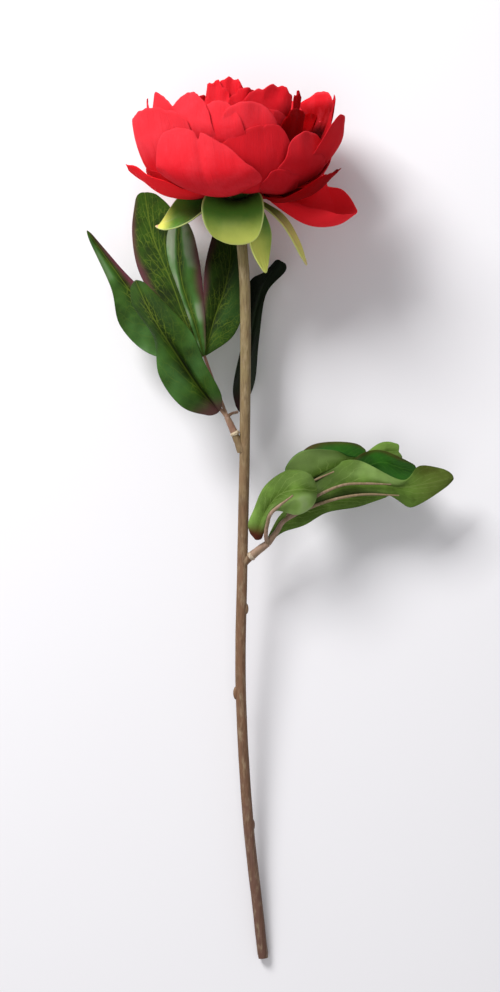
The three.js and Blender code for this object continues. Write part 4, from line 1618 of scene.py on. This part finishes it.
# The leaf in front of the upper spray
FRONT_LEAF: list[Lobe] = [
    # Its fold beside the rib carries a painted shadow.
    Lobe(
        rib=((-17, 297, 3), (-28, 310, 10), (-44, 334, 15), (-54, 351, 14), (-62, 368.5, 9)),
        left=(
            (-20, 294.5, 4), (-36.8, 299.6, 9), (-49.2, 316.5, 11), (-52, 337, 12), (-63.5, 355, 7),
            (-65, 367, 6),
        ),
        right=(
            (-15.2, 299, 4), (-16, 308, 9), (-25, 324.5, 15), (-32, 340.5, 17), (-50, 360, 12),
            (-59, 369, 9),
        ),
        bulge=1, blush=(0.0, 0.0, 0.8, 0.0), painted_sheen=(0.6, 0.75), crease=2.6, seed=1,
    )
]


# The four-lobed leaf behind the front one
SIDE_LEAF: list[Lobe] = [
    Lobe(
        rib=((-25.7, 327.6, -4), (-42, 340, -8), (-61.7, 359.5, -12), (-80, 384, -14), (-90, 398, -12)),
        left=((-26.8, 326.5, -5), (-53.9, 329, -11), (-71.5, 345, -14), (-77, 367, -15), (-90.5, 396, -13)),
        right=((-25.7, 328.7, -4), (-40, 345, -8), (-58, 364, -14), (-76, 383, -17), (-88.6, 397.8, -12)),
        bulge=-1, blush=(0.0, 1.3, 0.0, 0.0), painted_sheen=(0.8, 0.4), reach=-0.1, seed=2,
    ),
    Lobe(
        rib=((-25.7, 327.6, -4), (-34, 344.3, -8), (-43, 369, -13), (-53.7, 395, -18), (-58.5, 420, -20)),
        left=((-27.4, 328.7, -5), (-44, 349.6, -12), (-61, 374, -19), (-65.6, 398, -23), (-63, 421, -21)),
        right=((-24.6, 330, -4), (-27, 350, -7), (-36, 381, -14), (-42, 408, -18), (-54, 421, -20)),
        bulge=1, blush=(0.9, 0.0, 0.0, 0.0), painted_sheen=(0.0, 0.0), seed=3,
    ),
    Lobe(
        rib=(
            (-25.2, 327.5, -2.4), (-30, 346, -4), (-37.2, 368, -6), (-39.4, 388, -10), (-39.4, 403.5, -14),
        ),
        left=(
            (-26.8, 330.3, -3), (-36, 356, -7.5), (-44.5, 380, -10), (-46, 394, -13), (-43.2, 402.6, -15),
        ),
        right=(
            (-24.1, 330.2, -2), (-24.6, 350, -5), (-27, 376, -10), (-30.2, 393, -13), (-34.4, 403.5, -15),
        ),
        bulge=1.2, blush=(0.0, 1.0, 0.0, 0.0), painted_sheen=(1.35, 1.3), reach=0.45, seed=4,
    ),
    # Its upper part is painted dark, in the bloom's shade.
    Lobe(
        rib=((-25.2, 327, -4), (-20, 348, -8), (-13.8, 366, -12), (-10.8, 385, -16), (-12.2, 403.6, -21)),
        left=((-26.8, 330.3, -4), (-26, 352, -6), (-25, 376, -10), (-21, 395, -16), (-16.7, 404.7, -21)),
        right=(
            (-24.1, 328.2, -5), (-8.8, 340, -10), (-2.2, 360, -14.5), (-1, 382, -17), (-7.8, 403.7, -22),
        ),
        bulge=1, blush=(0.9, 0.0, 0.0, 0.0), painted_sheen=(0.0, 0.35), painted_shade=(0.0, 0.8), seed=5,
    ),
]


# The narrow dark leaf behind the stem
REAR_LEAF: list[Lobe] = [
    Lobe(
        rib=((-6, 297.6, -8), (-2.6, 319, -15), (1.4, 345, -19), (6.7, 367, -21), (17, 382, -20)),
        left=(
            (-7.5, 299.3, -8), (-9.4, 312, -14), (-4, 340, -20), (-1, 369, -24), (8.5, 376.5, -22),
            (15.5, 384, -21),
        ),
        right=(
            (-4.6, 297.3, -9), (2.6, 314, -14), (5, 338, -19), (9, 364, -21), (19.6, 376, -20),
            (19.6, 381.5, -20),
        ),
        bulge=-1, blush=(0.0, 0.0, 0.8, 0.0), painted_sheen=(0.0, 0.3), seed=6,
    )
]


# The round leaf at the fork of the lower spray, seen from its back
LOWER_FRONT_LEAF: list[Lobe] = [
    Lobe(
        rib=((3, 227.6, 6), (7.5, 241, 12), (15.6, 252, 18), (26, 255, 20), (36.5, 254, 14)),
        left=(
            (0.5, 230, 5), (-1.1, 236.5, 7), (2.2, 244.5, 9), (8.2, 257.3, 13), (20, 265.5, 14),
            (31.3, 263.9, 13), (36.2, 258, 12),
        ),
        right=(
            (6, 227.1, 5), (9.6, 237, 10.5), (14, 243.4, 14.5), (25, 241.2, 16), (33, 245, 14),
            (36.2, 250.5, 13),
        ),
        bulge=1.5, blush=(0.0, 0.0, 0.95, 0.0), painted_sheen=(0.45, 1.2), seed=7,
    )
]


# The long leaf of the lower spray: four overlapping folds
LOWER_LONG_LEAF: list[Lobe] = [
    Lobe(
        rib=((9.8, 227.8, -1), (20, 239.5, 1), (39.2, 247.7, 2), (58, 251.8, 2), (76, 252.6, 1)),
        left=((9.4, 229, -1), (19, 243.5, 0), (39, 252, 0), (58, 255.4, 1), (75.6, 254.8, 1)),
        right=(
            (11.5, 227, -1), (18.6, 232, -2), (30, 235.4, -3), (42, 242.8, -2), (58, 245.2, -2),
            (68, 248.6, -1), (76.5, 251.6, 0),
        ),
        bulge=1, painted_sheen=(0.1, 0.0), seed=8,
    ),
    # Its base is painted dark, in the shade of the leaves over it.
    Lobe(
        rib=((24, 242, 0.8), (45, 256, 4), (65, 258, 5), (85, 256.5, 2), (111.5, 261.2, -3)),
        left=(
            (23, 244, 0.8), (36.5, 264.2, -6), (47, 269.6, -7), (60, 270.8, 1.5), (83, 260, 3),
            (93, 268.2, -2), (111.5, 265.2, -4),
        ),
        right=(
            (26, 241.6, 0.8), (50, 251.5, 2.6), (72, 252.6, 2.2), (81, 250.8, 1.4), (84.5, 246.4, 0.8),
            (89, 245.4, 0.4), (99, 250.6, -1), (112.4, 260, -4),
        ),
        bulge=1, blush=(0.0, 0.0, 0.0, 0.3), painted_sheen=(0.6, 0.1), painted_sheen_end=0.0, painted_shade=(0.65, 0.15), seed=9,
    ),
    Lobe(
        rib=((52, 262, -5), (60, 266, -3), (72, 270, -4), (82, 267, -4), (91.5, 265, -4)),
        left=((52, 266, -7), (60, 274, -6), (70, 277, -8), (82, 273, -7), (91.5, 268, -5)),
        right=((54, 258, -4), (64, 262, -1), (74, 260, 0), (84, 258.5, -1), (90.5, 262, -3)), bulge=-1,
        turned=True, blush=(0.4, 0.0, 0.9, 0.0), painted_sheen=(0.1, 0.2), seed=10,
    ),
    Lobe(
        rib=((60, 266, -7), (68, 272, -10), (75, 275.5, -12), (82, 276, -13)),
        left=((57, 269, -8), (66, 277, -12), (74, 281.5, -14), (83, 280, -14)),
        right=((63, 263, -7), (71, 268, -10), (79, 270, -12), (84.8, 273, -13)), bulge=1,
        blush=(0.0, 0.0, 0.3, 0.0), painted_sheen=(0.1, 0.2), seed=11,
    ),
]


# The folded leaf at the top of the lower spray
LOWER_TOP_LEAF: list[Lobe] = [
    Lobe(
        rib=((25, 255, -3), (36, 261.8, -3), (46, 266.4, -4), (55, 270.5, -6), (62.5, 273, -8)),
        left=((22, 256, -6), (26, 272, -11), (36, 280.4, -13), (57, 280.8, -14), (65, 276, -11)),
        right=((22, 259, 1), (19.2, 267, 2), (28, 276, 2), (45, 276.8, 0), (54.5, 272.5, -5)), bulge=1,
        turned=True, blush=(0.5, 0.0, 0.0, 0.0), painted_sheen=(0.2, 0.5), seed=12,
    )
]


@dataclass
class Leaf:
    """A leaf of one or more lobes, with an upper and a lower side."""

    name: str
    node: str
    lobes: list[Lobe]
    near: Sequence[Material]
    slot: Slot
    sheet: Sheet = Sheet(22, 40, 0.5)

    def build(self) -> None:
        """Makes each lobe and joins them into one piece."""
        parts = []
        for k, lobe in enumerate(self.lobes):
            tags = {"blush": lobe.blush_at, "painted_sheen": lobe.painted_sheen_at, "painted_shade": lobe.painted_shade_at}
            faces = self.near[::-1] if lobe.turned else self.near
            parts.append(self.sheet.make(f"{self.name}_{k}", lobe.at, tags, faces))
        hand_over(joined(self.name, parts), self.slot, self.node)


@dataclass
class Foliage:
    """Both leaf sprays."""

    palette: Palette

    def build(self) -> None:
        """Makes the stalks and the leaves of the two sprays."""
        p = self.palette
        Stalks("upper_spray_stalks", "upper_stalks", p, upper_stalks()).build()
        Stalks("lower_spray_stalks", "lower_stalks", p, lower_stalks()).build()
        # The rear leaf takes the face in painted shade.
        face, shaded, back = (p.leaf, p.leaf_back), (p.painted_shade_leaf, p.leaf_back), (p.leaf_back, p.fold)
        for leaf in (
            Leaf("upper_leaf_front", "upper_front_leaf", FRONT_LEAF, face, Slot.LEAF),
            Leaf("upper_leaf_side", "upper_side_leaf", SIDE_LEAF, face, Slot.LEAF),
            Leaf("upper_leaf_rear", "upper_rear_leaf", REAR_LEAF, shaded, Slot.LEAF),
            Leaf("lower_leaf_front", "lower_front_leaf", LOWER_FRONT_LEAF, back, Slot.LEAF_BACK),
            Leaf("lower_leaf_long", "lower_long_leaf", LOWER_LONG_LEAF, back, Slot.LEAF_BACK),
            Leaf("lower_leaf_top", "lower_top_leaf", LOWER_TOP_LEAF, back, Slot.LEAF_BACK),
        ):
            leaf.build()


# ---------- the setting


@dataclass
class Studio:
    """The camera, the pale floor and the soft light."""

    distance: float = 1200  # of the camera from the stem's plane
    aim: Point = (0, 251.5, 0)
    half_height: float = 270.57  # what the picture shows above and below its middle
    sensor: float = 24
    floor_size: float = 60  # metres
    floor_colour: Colour = srgb(232, 232, 236)
    floor_stain: Colour = srgb(224, 221, 225)
    sky: Colour = (0.94, 0.93, 0.94)
    sky_strength: float = 0.36

    def camera(self) -> None:
        """Places the camera square to the stem's plane, as far off as the view asks."""
        data = bpy.data.cameras.new("Camera")
        data.sensor_fit = "VERTICAL"
        data.sensor_height = self.sensor
        data.lens = self.sensor / 2 * self.distance / self.half_height
        camera = bpy.data.objects.new("Camera", data)
        bpy.context.collection.objects.link(camera)
        place = LAY.place(Vector(self.aim) + Vector((0, 0, self.distance)))
        camera.matrix_world = Matrix.Translation(place) @ LAY.axes().to_4x4()
        bpy.context.scene.camera = camera

    def lamp(self, name: str, place: Point, target: Point, size: float, watts: float, tint: Colour) -> None:
        """Adds one soft square lamp.

        Args:
            name: Its name.
            place: Where it stands, in the stem's plane.
            target: What it is turned to.
            size: Its side in metres.
            watts: Its power.
            tint: Its colour.
        """
        data = bpy.data.lights.new(name, "AREA")
        data.size = size
        data.energy = watts
        data.color = tint
        lamp = bpy.data.objects.new(name, data)
        bpy.context.collection.objects.link(lamp)
        spot = LAY.place(Vector(place))
        lamp.location = spot
        lamp.rotation_euler = (LAY.place(Vector(target)) - spot).to_track_quat("-Z", "Y").to_euler()

    def floor(self, finish: Material) -> None:
        """Adds the pale floor.

        Args:
            finish: Its material.
        """
        plane = added("floor", bpy.ops.mesh.primitive_plane_add, size=self.floor_size)
        plane.data.materials.append(finish)

    def build(self) -> None:
        """Sets up everything that isn't the part."""
        self.camera()
        finish = Finish("Pale floor", Roughness=0.9, Specular_IOR_Level=0.1)
        tree = finish.tree
        faint = tree.ramp(tree.noise(tree.object_place(), scale=8.0, detail=3.0), 0.3, 0.7, 0.0, 0.06)
        finish.feed("Base Color", tree.mix(faint, self.floor_colour, self.floor_stain))
        self.floor(finish.material)
        self.lamp("Key", (-700, 1250, 820), (0, 330, 0), size=0.6, watts=24.5, tint=(1.0, 0.985, 0.975))
        self.lamp("Fill", (-100, -200, 1400), (0, 250, 0), size=1.0, watts=5.0, tint=(1.0, 0.98, 0.97))
        world = bpy.data.worlds.new("Soft sky")
        world.use_nodes = True
        backdrop = world.node_tree.nodes["Background"]
        backdrop.inputs["Color"].default_value = (*self.sky, 1.0)
        backdrop.inputs["Strength"].default_value = self.sky_strength
        bpy.context.scene.world = world
        bpy.context.scene.view_settings.view_transform = "Standard"


def main() -> None:
    """Builds the setting and the part."""
    logging.basicConfig(level=logging.INFO, format="%(name)s: %(message)s")
    Studio().build()
    palette = Palette()
    Stem(palette).build()
    Calyx(palette).build()
    Bloom(palette).build()
    Foliage(palette).build()


if __name__ == "__main__":
    main()
